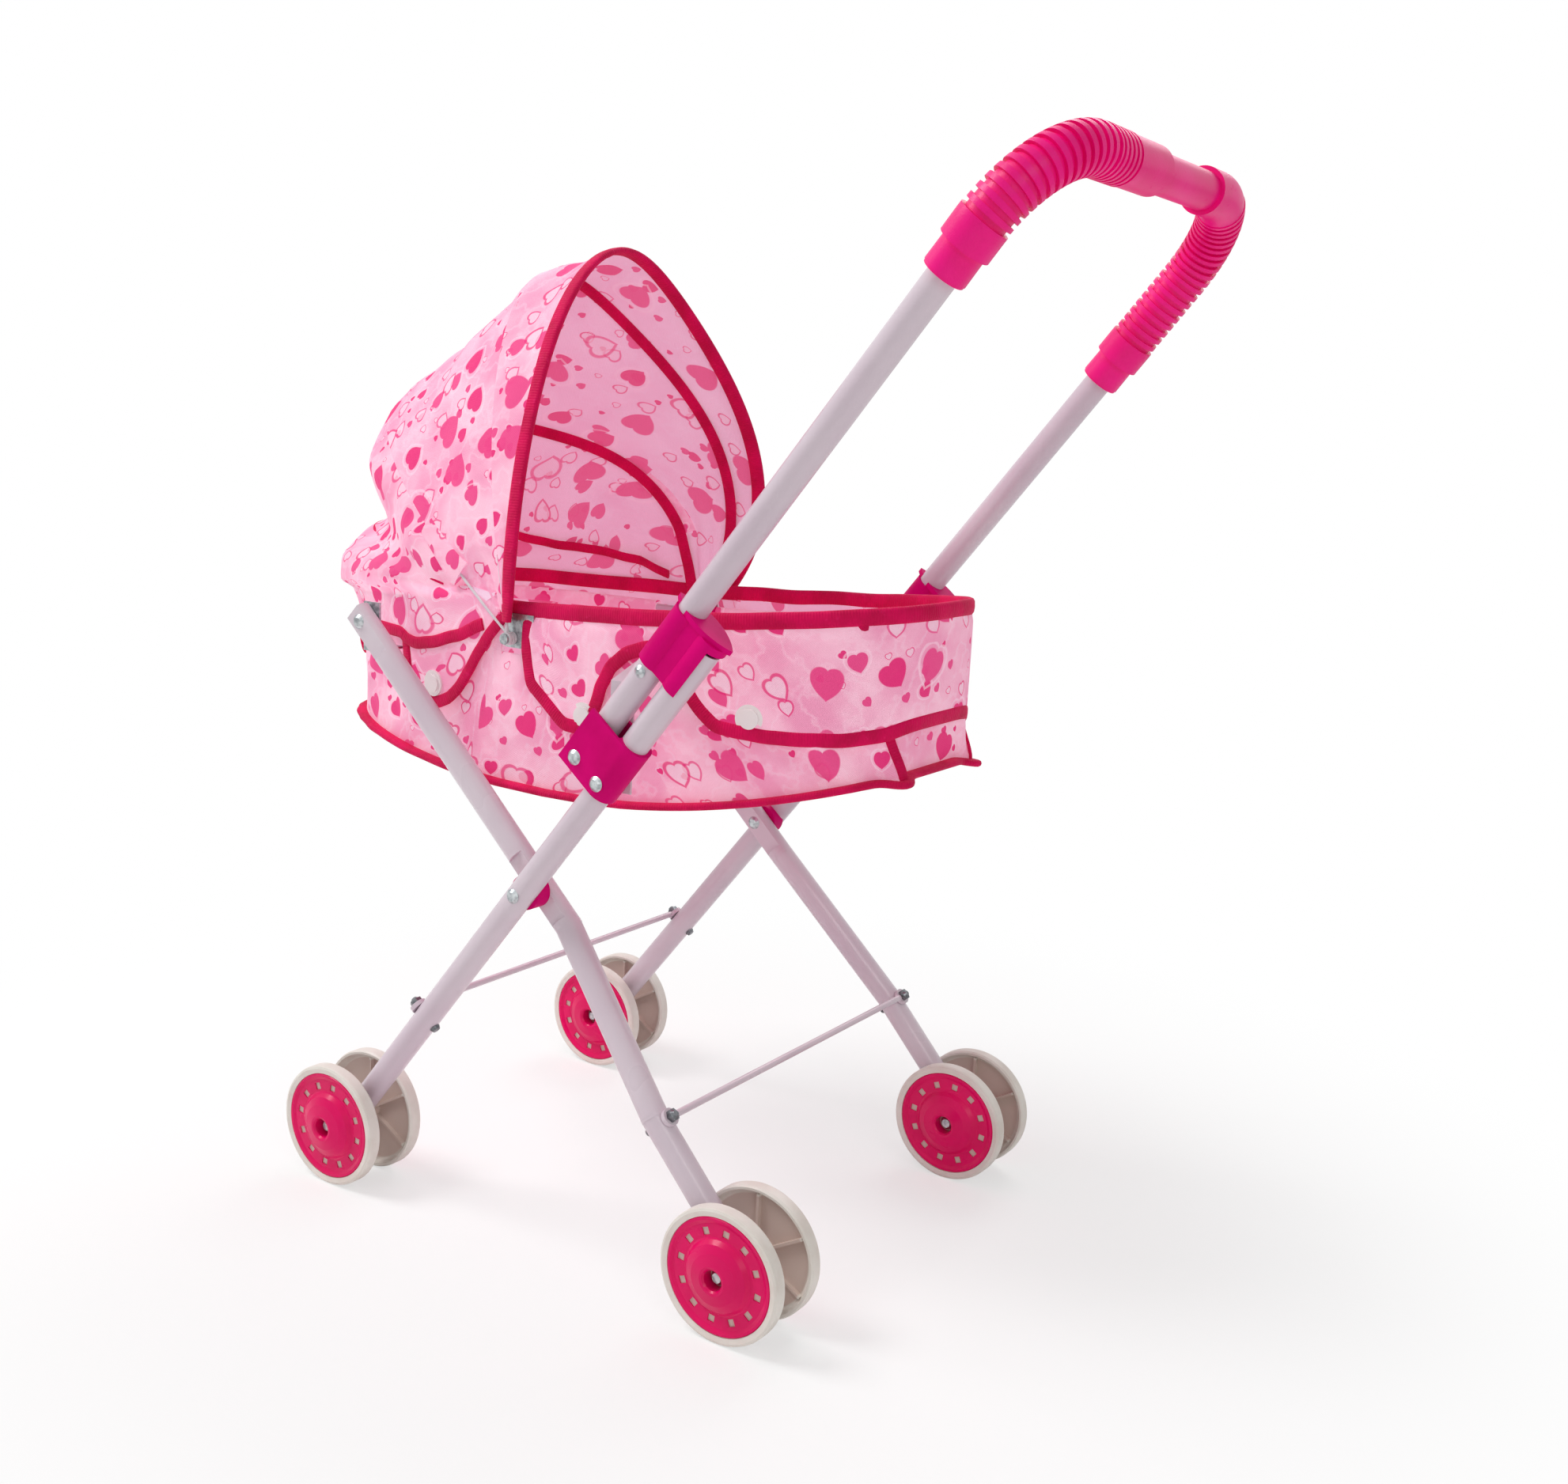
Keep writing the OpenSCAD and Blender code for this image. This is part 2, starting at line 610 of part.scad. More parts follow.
// Heights and half widths along the basket, u being the distance from its middle
function rim_z(u) = rim_low_z + rim_rise * pow((u + rim_half_l) / (2 * rim_half_l), 3);
function floor_share(u) = 1 - 0.36 * pow(u / rim_half_l, 2);
function floor_height(u) = floor_z + (u < 0 ? 18 : 33) * pow(u / rim_half_l, 2);
// A point on the rim's oval, grown outwards by e
function rim_point(t, e) = let (u = (rim_half_l + e) * pow_abs(cos(t), 0.77))
    [u - basket_back, (rim_half_w + e) * pow_abs(sin(t), 0.77), rim_z(u)];
// A point of the bottom panel: its corners are squarer than the rim's
function floor_point(t, e) = let (u = (rim_half_l - 6 + e) * pow_abs(cos(t), 0.4))
    [u - basket_back, (rim_half_w + e) * floor_share(u) * pow_abs(sin(t), 0.4), floor_height(u)];
// A point of the wall, from the bottom (h = 0) to the rim (h = 1), with a soft belly
function wall_point(t, h, e) = let (a = floor_point(t, e), b = rim_point(t, e), k = pow(h, 0.8),
    belly = 1 + 0.02 * sin(180 * h)) [a[0] + (b[0] - a[0]) * k, (a[1] + (b[1] - a[1]) * k) * belly,
    a[2] + (b[2] - a[2]) * h];
function ring(h, e) = [for (j = [0 : RIM_N - 1]) wall_point(-j * 360 / RIM_N, h, e)];
function floor_ring(share, e, lift) = [for (j = [0 : RIM_N - 1])
    let (p = floor_point(-j * 360 / RIM_N, e), u = (p[0] + basket_back) * share)
        [u - basket_back, p[1] * share, floor_height(u) + lift]];

WALL_STEPS = [0, 0.15, 0.4, 0.7, 1];
strap_x = (front_axle + leg_u * bracket_along)[0];
strap_w = 14;

// Open fabric tub, notched for the canopy's clamps and slotted for the hanger straps
module basket_tub()
    color(FABRIC) place() difference() {
        loft(concat(
            [for (s = [0.15, 0.5, 0.8]) floor_ring(s, 0, 0)],
            [for (h = WALL_STEPS) ring(h, 0)],
            [[for (q = ring(1, -fabric_t / 2)) q + [0, 0, 0.8]]],
            [for (i = [4 : -1 : 1]) ring(WALL_STEPS[i], -fabric_t)],
            [for (s = [0.97, 0.8, 0.5, 0.15]) floor_ring(s, -fabric_t, fabric_t)]));
        translate([notch[0], -track, hinge_z - 8]) cube([notch[1] - notch[0], 2 * track, 60]);
        translate([strap_x - strap_w / 2 - 2, -track, hinge_z - 5])
            cube([strap_w + 4, 2 * track, 14]);
    }

// The rim wire's run, inside the tub's wall and below its top edge
function wire_point(t) = wall_point(t, 0.84, -rim_inset);
function rim_sections(r) = [for (j = [0 : RIM_N - 1]) let (t = j * 360 / RIM_N)
    section(wire_point(t), unit(wire_point(t + 3) - wire_point(t - 3)), r, 8)];

module rim_wire() color(PAINT) place() loft_loop(rim_sections(rim_wire_r));

// How high the band's lower edge is up the wall at t
function band_low(t) = 1 - band_depth / (rim_point(t, 0)[2] - floor_point(t, 0)[2]);
band_in = 0.8;
band_out = band_in + fabric_t * 0.6;
arch = [strap_x - 8, 0, 292];
arch_r = 29;

// Outer band round the handle end, which hangs from the rim and is arched over the brackets
module basket_band() {
    n = 40;
    span = 93.4;
    color(FABRIC) place() difference() {
        loft([for (j = [0 : n]) let (t = -span + 2 * span * j / n, low = band_low(t), mid = (1 + low) / 2)
            [for (q = [[low, band_out], [mid, band_out], [0.98, band_out],
                [0.98, band_in], [mid, band_in], [low, band_in]]) wall_point(t, q[0], q[1])]]);
        along_y(arch, -track, track, arch_r);
        translate([arch[0] - arch_r, -track, arch[2] - 60]) cube([2 * arch_r, 2 * track, 60]);
        translate([notch[1] - 16 - wheelbase, -track, floor_z]) cube([wheelbase, 2 * track, 150]);
    }
}

// Where the snaps are: turned to and up the wall
SNAPS = [[62.5, 0.445], [88.5, 0.45], [104, 0.46]];
snap_r = 7.2;

// Press snaps that button the band and the hood's flaps to the tub
module band_snaps()
    color("white") place() for (side = SIDES, q = SNAPS) {
        p = wall_point(side * q[0], q[1], band_out);
        up = wall_point(side * q[0], q[1] + 0.05, 0) - wall_point(side * q[0], q[1] - 0.05, 0);
        along = wall_point(side * q[0] + 1, q[1], 0) - wall_point(side * q[0] - 1, q[1], 0);
        out = unit(cross(along, up));
        rod(p + out * 0.3, p + out * 1.7, snap_r);
        rod(p + out * 1.5, p + out * 2.7, snap_r * 0.7);
    }

// Steel straps from the brackets up and in to the rim wire
module rim_hangers()
    color(PAINT) place() for (side = SIDES) {
        foot = front_axle + leg_u * bracket_along;
        top = wire_point(73.8);
        y_out = leg_y - cheek_out - run_gap;
        y_in = top[1] - 3;
        z0 = foot[2] - 7;
        z1 = top[2] - rim_wire_r - gap;
        difference() {
            translate([strap_x - strap_w / 2, 0, 0]) rotate([90, 0, 90]) linear_extrude(strap_w)
                polygon([for (q = [[y_out, z0], [y_out, z1 - 14], [y_in, z1], [y_in, z1 - strap_t],
                    [y_out - strap_t, z1 - 14 - strap_t], [y_out - strap_t, z0]]) [side * q[0], q[1]]]);
            along_y(foot, -track, track, rivet_r + fit_gap);
        }
    }

// Largest half width of the wall near x, at height z
function wall_half_w(x, z) = max([for (t = [60 : 2 : 150]) let (low = floor_point(t, 0)[2],
    p = wall_point(t, (z - low) / (rim_point(t, 0)[2] - low), 0)) abs(p[0] - x) < tab_w ? p[1] : 0]);

// Steel tabs that reach out from the basket to the rear legs' tops
module rim_tabs()
    color(STEEL) place() for (side = SIDES) {
        plate_y = side * (rear_y - flat_t / 2 - gap);
        low_z = rear_top[2] - tab_drop;
        inner_y = side * (wall_half_w(rear_top[0], low_z + tab_t) + gap);
        translate([rear_top[0] - tab_w / 2, min(plate_y, plate_y - side * tab_t), low_z])
            cube([tab_w, tab_t, tab_h]);
        translate([rear_top[0] - tab_w / 4, min(plate_y, inner_y), low_z])
            cube([tab_w / 2, abs(plate_y - inner_y), tab_t]);
    }

// ---- Canopy --------------------------------------------------------------------------------

clamp_r = rim_wire_r + 2;
eye_t = hoop_d;
plate_t = 1;
function hoop_w(i) = hoop_half_w - i * layer;
function hoop_h(i) = hoop_reach - hoop_drops[i];
plate_y = hoop_w(2) - eye_t / 2 - gap - plate_t;

// Barrels clamped on the bare rim wire, each with a lug behind its pivot plate
module canopy_clamps()
    color(MAGENTA) place() for (side = SIDES) {
        a = wire_point(side * 90);
        d = wire_point(side * 97.5) - a;
        lug_y = side * (plate_y - gap);
        difference() {
            union() {
                rod(a + d * 0.1, a + d * 0.55, clamp_r);
                translate([hinge[0] + 3, min(a[1], lug_y), a[2] - 3.5])
                    cube([9, abs(lug_y - a[1]), 7]);
            }
            loft_loop(rim_sections(rim_wire_r + run_gap));
        }
    }

// Pivot plates with the pins that carry the hoops' eyes
module canopy_pivots()
    color(STEEL) place() for (side = SIDES) {
        y0 = side * plate_y;
        y1 = side * (plate_y + plate_t);
        pin_end = side * (hoop_w(0) + eye_t / 2 + 0.2);
        head = side * (hoop_w(0) + eye_t / 2 + 1.4);
        union() {
            translate([hinge[0] - 5, min(y0, y1), hinge[2] - 5]) cube([19, plate_t, 18]);
            along_y(hinge, min(y1, pin_end), max(y1, pin_end), 1.5);
            along_y(hinge, min(head, pin_end), max(head, pin_end), 2.8);
        }
    }

// How far the hoops are sprung towards the handle, t from the left foot (0) to the right one (180)
function lean(t) = hoop_lean * exp(-pow((180 - t) / 37, 2));
// A point of a dome that is w wide and h high, at an angle about the hinge
function dome_point(angle, t, w, h) = let (a = angle - lean(t))
    hinge + [h * sin(t) * cos(a), -w * cos(t), h * sin(t) * sin(a)];
function hoop_point(i, t) = dome_point(hoop_angles[i], t, hoop_w(i), hoop_h(i));

module canopy_hoop(i) {
    steps = 30;
    path = [for (k = [0 : steps]) hoop_point(i, 0.7 + 178.6 * k / steps)];
    color(STEEL) place() difference() {
        union() {
            loft([for (k = [0 : steps]) section(path[k],
                unit(path[min(k + 1, steps)] - path[max(k - 1, 0)]), hoop_r, 8)]);
            for (side = SIDES)
                along_y(hinge, side * hoop_w(i) - eye_t / 2, side * hoop_w(i) + eye_t / 2, 3.4);
        }
        along_y(hinge, -track, track, 1.5 + run_gap);
    }
}

// Fabric panel between two hoops, a slice of a dome that turns about the hinge
module canopy_panel(i) {
    skin = 1.2;
    n = 20;
    low = 12;
    from = hoop_angles[i - 1] + 1.5;
    to = hoop_angles[i] - 1.5;
    m = ceil((to - from) / 4);
    color(FABRIC) place() loft([for (k = [0 : n]) let (t = low + (180 - 2 * low) * k / n) concat(
        [for (j = [0 : m]) dome_point(from + (to - from) * j / m, t, hoop_w(i) + skin / 2,
            hoop_h(i) + skin / 2)],
        [for (j = [m : -1 : 0]) dome_point(from + (to - from) * j / m, t, hoop_w(i) - skin / 2,
            hoop_h(i) - skin / 2)])]);
}

// The hood's surface at t from its middle: down the dome, then over the rim and down the wall
function hood_line(t, e_dome, e_wall) = let (h = hood_h - e_dome, w = hood_w - e_dome,
    low = hood_low + 17 * pow(sin(t), 2), flap = abs(t) > 64 ? 0.38 : 0.64 + 0.06 * pow(sin(t), 2))
    concat(
        [for (k = [0 : 5]) let (from = hoop_angles[2] - lean(90 + t), r = h * cos(t),
            turn = from + (158 - from) * k / 5, end = 180 - asin(low / (r * hood_swell)), a = min(turn, end - (5 - k) * 0.5))
            hinge + [r * cos(a), w * sin(t), r * sin(a)]],
        [let (r = h * cos(t) * hood_swell) hinge + [-sqrt(r * r - low * low), w * sin(t), low]],
        [for (q = [0.8 + 0.23 * pow(sin(t), 2), 0.72 + 0.16 * pow(sin(t), 2), flap])
            wall_point(180 - 1.04 * t, q, e_wall)]);

// Fixed hood from the front hoop down to the rim at the head end, with a flap on each side
module canopy_hood() {
    n = 28;
    lim = 78;
    color(FABRIC) place() loft([for (j = [0 : n]) let (t = -lim + 2 * lim * j / n,
        inner = hood_line(t, 1.2, band_in)) concat(hood_line(t, 0, band_out),
        [for (k = [len(inner) - 1 : -1 : 0]) inner[k]])]);
}

// ---- Nodes ---------------------------------------------------------------------------------

front_wire = front_axle + leg_u * front_wire_along;

front_leg(LEFT);  // front_leg_left
front_leg(RIGHT);  // front_leg_right
cross_wire(front_wire, leg_n);  // front_cross_wire
wire_bolts(front_wire, leg_n);  // front_wire_bolts
rear_leg(LEFT);  // rear_leg_left
rear_leg(RIGHT);  // rear_leg_right
cross_wire(rear_wire, rear_n);  // rear_cross_wire
wire_bolts(rear_wire, rear_n);  // rear_wire_bolts
crossing_rivets();
crossing_spacers();
hinge_bracket(LEFT);  // hinge_bracket_left
hinge_bracket(RIGHT);  // hinge_bracket_right
handle_pivot_rivets();
bracket_rivets();
handle_tube();
grip(LEFT, grip_lead_left);  // grip_left
grip(RIGHT, grip_lead_right);  // grip_right
crossbar_sleeve();
slider_stop_rivets();
slider(LEFT);  // slider_left
slider(RIGHT);  // slider_right
wheel(front_axle, LEFT, true);  // wheel_front_left_outer
wheel(front_axle, LEFT, false);  // wheel_front_left_inner
wheel(front_axle, RIGHT, true);  // wheel_front_right_outer
wheel(front_axle, RIGHT, false);  // wheel_front_right_inner
wheel(rear_axle, LEFT, true);  // wheel_rear_left_outer
wheel(rear_axle, LEFT, false);  // wheel_rear_left_inner
wheel(rear_axle, RIGHT, true);  // wheel_rear_right_outer
wheel(rear_axle, RIGHT, false);  // wheel_rear_right_inner
disc(front_axle, LEFT, true);  // disc_front_left_outer
disc(front_axle, LEFT, false);  // disc_front_left_inner
disc(front_axle, RIGHT, true);  // disc_front_right_outer
disc(front_axle, RIGHT, false);  // disc_front_right_inner
disc(rear_axle, LEFT, true);  // disc_rear_left_outer
disc(rear_axle, LEFT, false);  // disc_rear_left_inner
disc(rear_axle, RIGHT, true);  // disc_rear_right_outer
disc(rear_axle, RIGHT, false);  // disc_rear_right_inner
axle(front_axle, LEFT);  // axle_front_left
axle(front_axle, RIGHT);  // axle_front_right
axle(rear_axle, LEFT);  // axle_rear_left
axle(rear_axle, RIGHT);  // axle_rear_right
rim_wire();
basket_tub();
basket_band();
band_snaps();
rim_hangers();
leg_top_rivets();
rim_tabs();
canopy_clamps();
canopy_pivots();
canopy_hoop(0);  // canopy_hoop_rear
canopy_hoop(1);  // canopy_hoop_middle
canopy_hoop(2);  // canopy_hoop_front
canopy_panel(1);  // canopy_panel_rear
canopy_panel(2);  // canopy_panel_middle
canopy_hood();
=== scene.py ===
"""Dresses the folding doll stroller in heart cloth, tape, enamel and mouldings, and sets its stage."""

import json
import logging
import math
from dataclasses import dataclass
from enum import Enum
from typing import Callable, NamedTuple, Sequence

import bpy
from mathutils import Matrix, Vector, noise


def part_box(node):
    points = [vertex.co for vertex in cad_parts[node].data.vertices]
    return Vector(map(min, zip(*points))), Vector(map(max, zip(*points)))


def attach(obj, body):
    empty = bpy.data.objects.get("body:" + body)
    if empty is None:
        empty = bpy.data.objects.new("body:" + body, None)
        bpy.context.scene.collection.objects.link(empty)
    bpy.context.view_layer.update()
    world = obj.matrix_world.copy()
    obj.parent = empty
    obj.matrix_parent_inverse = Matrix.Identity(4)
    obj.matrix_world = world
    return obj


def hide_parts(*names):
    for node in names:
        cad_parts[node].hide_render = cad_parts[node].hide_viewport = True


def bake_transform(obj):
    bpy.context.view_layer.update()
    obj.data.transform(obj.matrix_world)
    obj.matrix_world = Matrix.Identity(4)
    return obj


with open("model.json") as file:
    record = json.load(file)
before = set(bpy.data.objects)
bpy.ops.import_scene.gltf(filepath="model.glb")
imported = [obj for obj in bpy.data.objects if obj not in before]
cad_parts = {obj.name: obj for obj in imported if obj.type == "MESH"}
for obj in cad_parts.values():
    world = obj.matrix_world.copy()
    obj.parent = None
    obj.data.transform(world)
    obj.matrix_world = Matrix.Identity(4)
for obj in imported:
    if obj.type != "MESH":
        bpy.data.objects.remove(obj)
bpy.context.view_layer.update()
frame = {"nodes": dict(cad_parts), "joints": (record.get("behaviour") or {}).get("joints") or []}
LOG = logging.getLogger("doll_stroller")

Colour = tuple[float, float, float, float]
Knots = Sequence[tuple[float, float]]
Place = Callable[[float, float], Vector]
Waves = tuple[float, float]


class Side(Enum):
    """The stroller's two long sides; -Y is its left."""

    LEFT = -1
    RIGHT = 1

    @property
    def word(self) -> str:
        """The side's word in the name of a piece."""
        return self.name.lower()


def tint(red: int, green: int, blue: int) -> Colour:
    """Turns a display colour into the linear one that shaders use.

    Args:
        red: Red from 0 to 255.
        green: Green from 0 to 255.
        blue: Blue from 0 to 255.

    Returns:
        The linear colour, opaque.
    """
    def linear(value: int) -> float:
        """Linear share of one display channel."""
        share = value / 255
        return share / 12.92 if share <= 0.04045 else ((share + 0.055) / 1.055) ** 2.4

    return linear(red), linear(green), linear(blue), 1.0


def clamp(value: float, low: float = 0.0, high: float = 1.0) -> float:
    """Value kept between low and high."""
    return max(low, min(high, value))


def ease(value: float, start: float, end: float) -> float:
    """Smooth step from 0 at start to 1 at end."""
    share = clamp((value - start) / (end - start))
    return share * share * (3 - 2 * share)


def follow(knots: Knots, at: float) -> float:
    """Reads a smooth curve through knots.

    Args:
        knots: (place, value) pairs in rising order of place.
        at: Where to read the curve.

    Returns:
        The curve's value, flat beyond its ends.
    """
    if at <= knots[0][0]:
        return knots[0][1]
    for (x0, y0), (x1, y1) in zip(knots, knots[1:]):
        if at <= x1:
            return y0 + (y1 - y0) * ease(at, x0, x1) * 0.5 + (y1 - y0) * 0.5 * (at - x0) / (x1 - x0)
    return knots[-1][1]


def signed_power(value: float, power: float) -> float:
    """Value raised to a power with its sign kept."""
    return math.copysign(abs(value) ** power, value)


def spread(start: float, end: float, steps: int) -> list[float]:
    """Values in even steps from start to end, both included."""
    return [start + (end - start) * k / steps for k in range(steps + 1)]


def once_round(steps: int) -> list[float]:
    """Turns in even steps once round, in degrees, for a line that closes on itself."""
    return spread(-180, 180, steps)[:-1]


# ---- Cloth workshop ------------------------------------------------------------------------


@dataclass(frozen=True)
class Crumple:
    """Soft unevenness of cloth, with folds about size across and at most amount high, in metres."""

    size: float
    amount: float

    def at(self, point: Vector) -> float:
        """Height of the unevenness at a point."""
        return self.amount * noise.noise(point / self.size)


class TapeSize(Enum):
    """Half of each tape's visible width, along the cloth, and half of its thickness over the fold."""

    RIM_BINDING = (0.0043, 0.0023)
    RIM_CASING = (0.0042, 0.0029)
    BAND_BINDING = (0.0037, 0.0011)
    PIPING = (0.0036, 0.0019)
    CORNER = (0.0026, 0.0009)
    CANOPY_EDGE = (0.0044, 0.0019)
    HOOP = (0.0036, 0.00125)
    HOOD_BINDING = (0.0034, 0.0012)
    FLAP_SEAM = (0.0034, 0.0011)
    HOOD_SEAM = (0.0032, 0.0011)


class ClothShop:
    """Lays out cloth and tape with Blender's own tools."""

    seam_gap = 1e-5
    sheet_fold = math.radians(60)
    tape_fold = math.radians(70)
    tape_sides = 12
    least_fill = 0.3

    @staticmethod
    def in_edit_mode(*steps: Callable[[], object]) -> None:
        """Selects all of the active piece in edit mode and takes the steps there.

        Args:
            steps: Operators, taken in order.
        """
        bpy.ops.object.mode_set(mode="EDIT")
        bpy.ops.mesh.select_all(action="SELECT")
        for step in steps:
            step()
        bpy.ops.object.mode_set(mode="OBJECT")

    @classmethod
    def sew(cls) -> None:
        """Joins the selected points that lie on each other."""
        bpy.ops.mesh.remove_doubles(threshold=cls.seam_gap)

    @staticmethod
    def lay_grid(name: str, grid: tuple[int, int], place: Place) -> bpy.types.Object:
        """Adds a flat grid and moves each of its points to where the cloth hangs.

        Args:
            name: Name of the piece.
            grid: Steps along the cloth and across it.
            place: Gives a point's place from its shares along and across.

        Returns:
            The sheet, with a flat pattern in its UV map, in metres.
        """
        columns, rows = grid
        bpy.ops.object.select_all(action="DESELECT")
        bpy.ops.mesh.primitive_grid_add(x_subdivisions=columns, y_subdivisions=rows, size=1.0)
        piece = bpy.context.object
        piece.name = piece.data.name = name
        mesh = piece.data
        cells = [(round((v.co.x + 0.5) * columns), round((v.co.y + 0.5) * rows)) for v in mesh.vertices]
        points = {cell: place(cell[0] / columns, cell[1] / rows) for cell in cells}
        flat = ClothShop.flatten(points, columns, rows)
        for vertex, cell in zip(mesh.vertices, cells):
            vertex.co = points[cell]
        pattern = mesh.uv_layers.active.data
        for loop in mesh.loops:
            pattern[loop.index].uv = flat[cells[loop.vertex_index]]
        return piece

    @staticmethod
    def flatten(points: dict[tuple[int, int], Vector], columns: int, rows: int) -> dict:
        """Unrolls a grid of points into its flat pattern.

        Args:
            points: Place of each (column, row).
            columns: Steps along the cloth.
            rows: Steps across it.

        Returns:
            The flat place of each (column, row): length along the middle row, and length from it.
        """
        middle, flat, along = rows // 2, {}, 0.0
        for i in range(columns + 1):
            if i:
                along += (points[i, middle] - points[i - 1, middle]).length
            up = down = 0.0
            flat[i, middle] = (along, 0.0)
            for j in range(middle + 1, rows + 1):
                up += (points[i, j] - points[i, j - 1]).length
                flat[i, j] = (along, up)
            for j in range(middle - 1, -1, -1):
                down += (points[i, j] - points[i, j + 1]).length
                flat[i, j] = (along, -down)
        return flat

    @classmethod
    def face_away(cls, piece: bpy.types.Object, middle: Vector) -> None:
        """Turns a sheet's faces so that they look away from a point inside it.

        Args:
            piece: The sheet, which is active.
            middle: The point.
        """
        if sum(f.normal.dot(f.center - middle) * f.area for f in piece.data.polygons) < 0:
            cls.in_edit_mode(bpy.ops.mesh.flip_normals)

    @classmethod
    def thicken(cls, piece: bpy.types.Object, thickness: float) -> None:
        """Gives a sheet its thickness, inwards from its outer face, and marks the inner skin.

        Args:
            piece: The sheet, which is active.
            thickness: Thickness of the cloth.
        """
        outer = len(piece.data.vertices)
        wall = piece.modifiers.new("thickness", "SOLIDIFY")
        wall.thickness = thickness
        wall.offset = -1.0
        bpy.ops.object.modifier_apply(modifier=wall.name)
        bpy.ops.object.shade_smooth_by_angle(angle=cls.sheet_fold)
        lining = piece.data.attributes.new("lining", "FLOAT", "POINT")
        for vertex, mark in zip(piece.data.vertices, lining.data):
            mark.value = 1.0 if vertex.index >= outer else 0.0

    @classmethod
    def sheet(cls, name: str, grid: tuple[int, int], place: Place, middle: Vector, thickness: float,
              ring: bool = False) -> bpy.types.Object:
        """Makes a sheet of cloth.

        Args:
            name: Name of the piece.
            grid: Steps along the cloth and across it.
            place: Gives a point's place from its shares along and across.
            middle: A point on the sheet's inner side.
            thickness: Thickness of the cloth.
            ring: True if the sheet closes on itself.

        Returns:
            The sheet, its outer face where place says.
        """
        piece = cls.lay_grid(name, grid, place)
        if ring:
            cls.in_edit_mode(cls.sew)
        cls.face_away(piece, middle)
        cls.thicken(piece, thickness)
        return piece

    @classmethod
    def tape(cls, name: str, points: Sequence[Vector], normals: Sequence[Vector], size: TapeSize,
             ring: bool = False) -> bpy.types.Object:
        """Folds a binding tape over an edge.

        Args:
            name: Name of the piece.
            points: The tape's middle line.
            normals: The cloth's normal at each of those points.
            size: Its width and thickness.
            ring: True if the line closes on itself.

        Returns:
            The tape, a closed soft flat tube.
        """
        count = len(points)
        columns = count if ring else count + 1
        half_width, half_thick = size.value

        def section(along: float, turn: float) -> Vector:
            """A point of the tape's skin, which closes to a point at a loose end.

            Args:
                along: Share of the tape's length.
                turn: Share of the way round.

            Returns:
                Its place.
            """
            step = round(along * columns)
            i = step % count if ring else min(max(step - 1, 0), count - 1)
            before = points[i - 1] if ring or i > 0 else points[0]
            after = points[(i + 1) % count] if ring or i < count - 1 else points[-1]
            run = (after - before).normalized()
            normal = (normals[i] - run * run.dot(normals[i])).normalized()
            across = normal.cross(run)
            full = 1.0 if ring or 0 < step < columns else 0.0
            angle = 2 * math.pi * turn
            return points[i] + (across * signed_power(math.cos(angle), 0.7) * half_width
                                + normal * signed_power(math.sin(angle), 0.8) * half_thick) * full

        piece = cls.lay_grid(name, (columns, cls.tape_sides), section)
        cls.in_edit_mode(cls.sew, lambda: bpy.ops.mesh.normals_make_consistent(inside=False))
        bpy.ops.object.shade_smooth_by_angle(angle=cls.tape_fold)
        return piece

    @classmethod
    def declare_sheet(cls, piece: bpy.types.Object, held: str, rests_on: Sequence[str],
                      with_pieces: Sequence[bpy.types.Object] = ()) -> None:
        """Works out how large the cloth was cut, from its flat pattern, and keeps nothing of it.

        Args:
            piece: The sheet.
            held: How it is held; not used.
            rests_on: Nodes that carry it; not used.
            with_pieces: Tapes sewn to it; not used.
        """
        pattern = piece.data.uv_layers.active.data
        us, vs = zip(*(loop.uv for loop in pattern))
        flat = (max(us) - min(us), max(vs) - min(vs))
        whole = flat[0] * flat[1]
        half = sum(f.area for f in piece.data.polygons) / 2
        clamp(half, cls.least_fill * whole, whole)


# ---- Shader maths --------------------------------------------------------------------------


class Wire:
    """A node's output socket that adds Math nodes when it is used in an expression."""

    def __init__(self, sheet: "NodeSheet", socket: bpy.types.NodeSocket) -> None:
        """Wraps a socket of the given node sheet."""
        self.sheet = sheet
        self.socket = socket

    def math(self, operation: str, *others: "Wire | float") -> "Wire":
        """Adds a Math node that takes this wire and others."""
        return self.sheet.add("ShaderNodeMath", {"operation": operation}, dict(enumerate((self, *others))))

    def beside(self, output: int | str) -> "Wire":
        """Another output of the same node."""
        return Wire(self.sheet, self.socket.node.outputs[output])

    def __add__(self, other: "Wire | float") -> "Wire":
        """self + other"""
        return self.math("ADD", other)

    def __radd__(self, other: float) -> "Wire":
        """other + self"""
        return self.math("ADD", other)

    def __sub__(self, other: "Wire | float") -> "Wire":
        """self - other"""
        return self.math("SUBTRACT", other)

    def __rsub__(self, other: float) -> "Wire":
        """other - self"""
        return self.sheet.add("ShaderNodeMath", {"operation": "SUBTRACT"}, {0: other, 1: self})

    def __mul__(self, other: "Wire | float") -> "Wire":
        """self * other"""
        return self.math("MULTIPLY", other)

    def __rmul__(self, other: float) -> "Wire":
        """other * self"""
        return self.math("MULTIPLY", other)

    def __truediv__(self, other: "Wire | float") -> "Wire":
        """self / other"""
        return self.math("DIVIDE", other)

    def __abs__(self) -> "Wire":
        """|self|"""
        return self.math("ABSOLUTE")

    def __lt__(self, other: "Wire | float") -> "Wire":
        """1 where self is below other"""
        return self.math("LESS_THAN", other)

    def __gt__(self, other: "Wire | float") -> "Wire":
        """1 where self is above other"""
        return self.math("GREATER_THAN", other)

    def step(self, low: float, high: float) -> "Wire":
        """Smooth step from 0 at low to 1 at high."""
        return self.sheet.add("ShaderNodeMapRange", {"interpolation_type": "SMOOTHSTEP"},
                              {"Value": self, "From Min": low, "From Max": high})


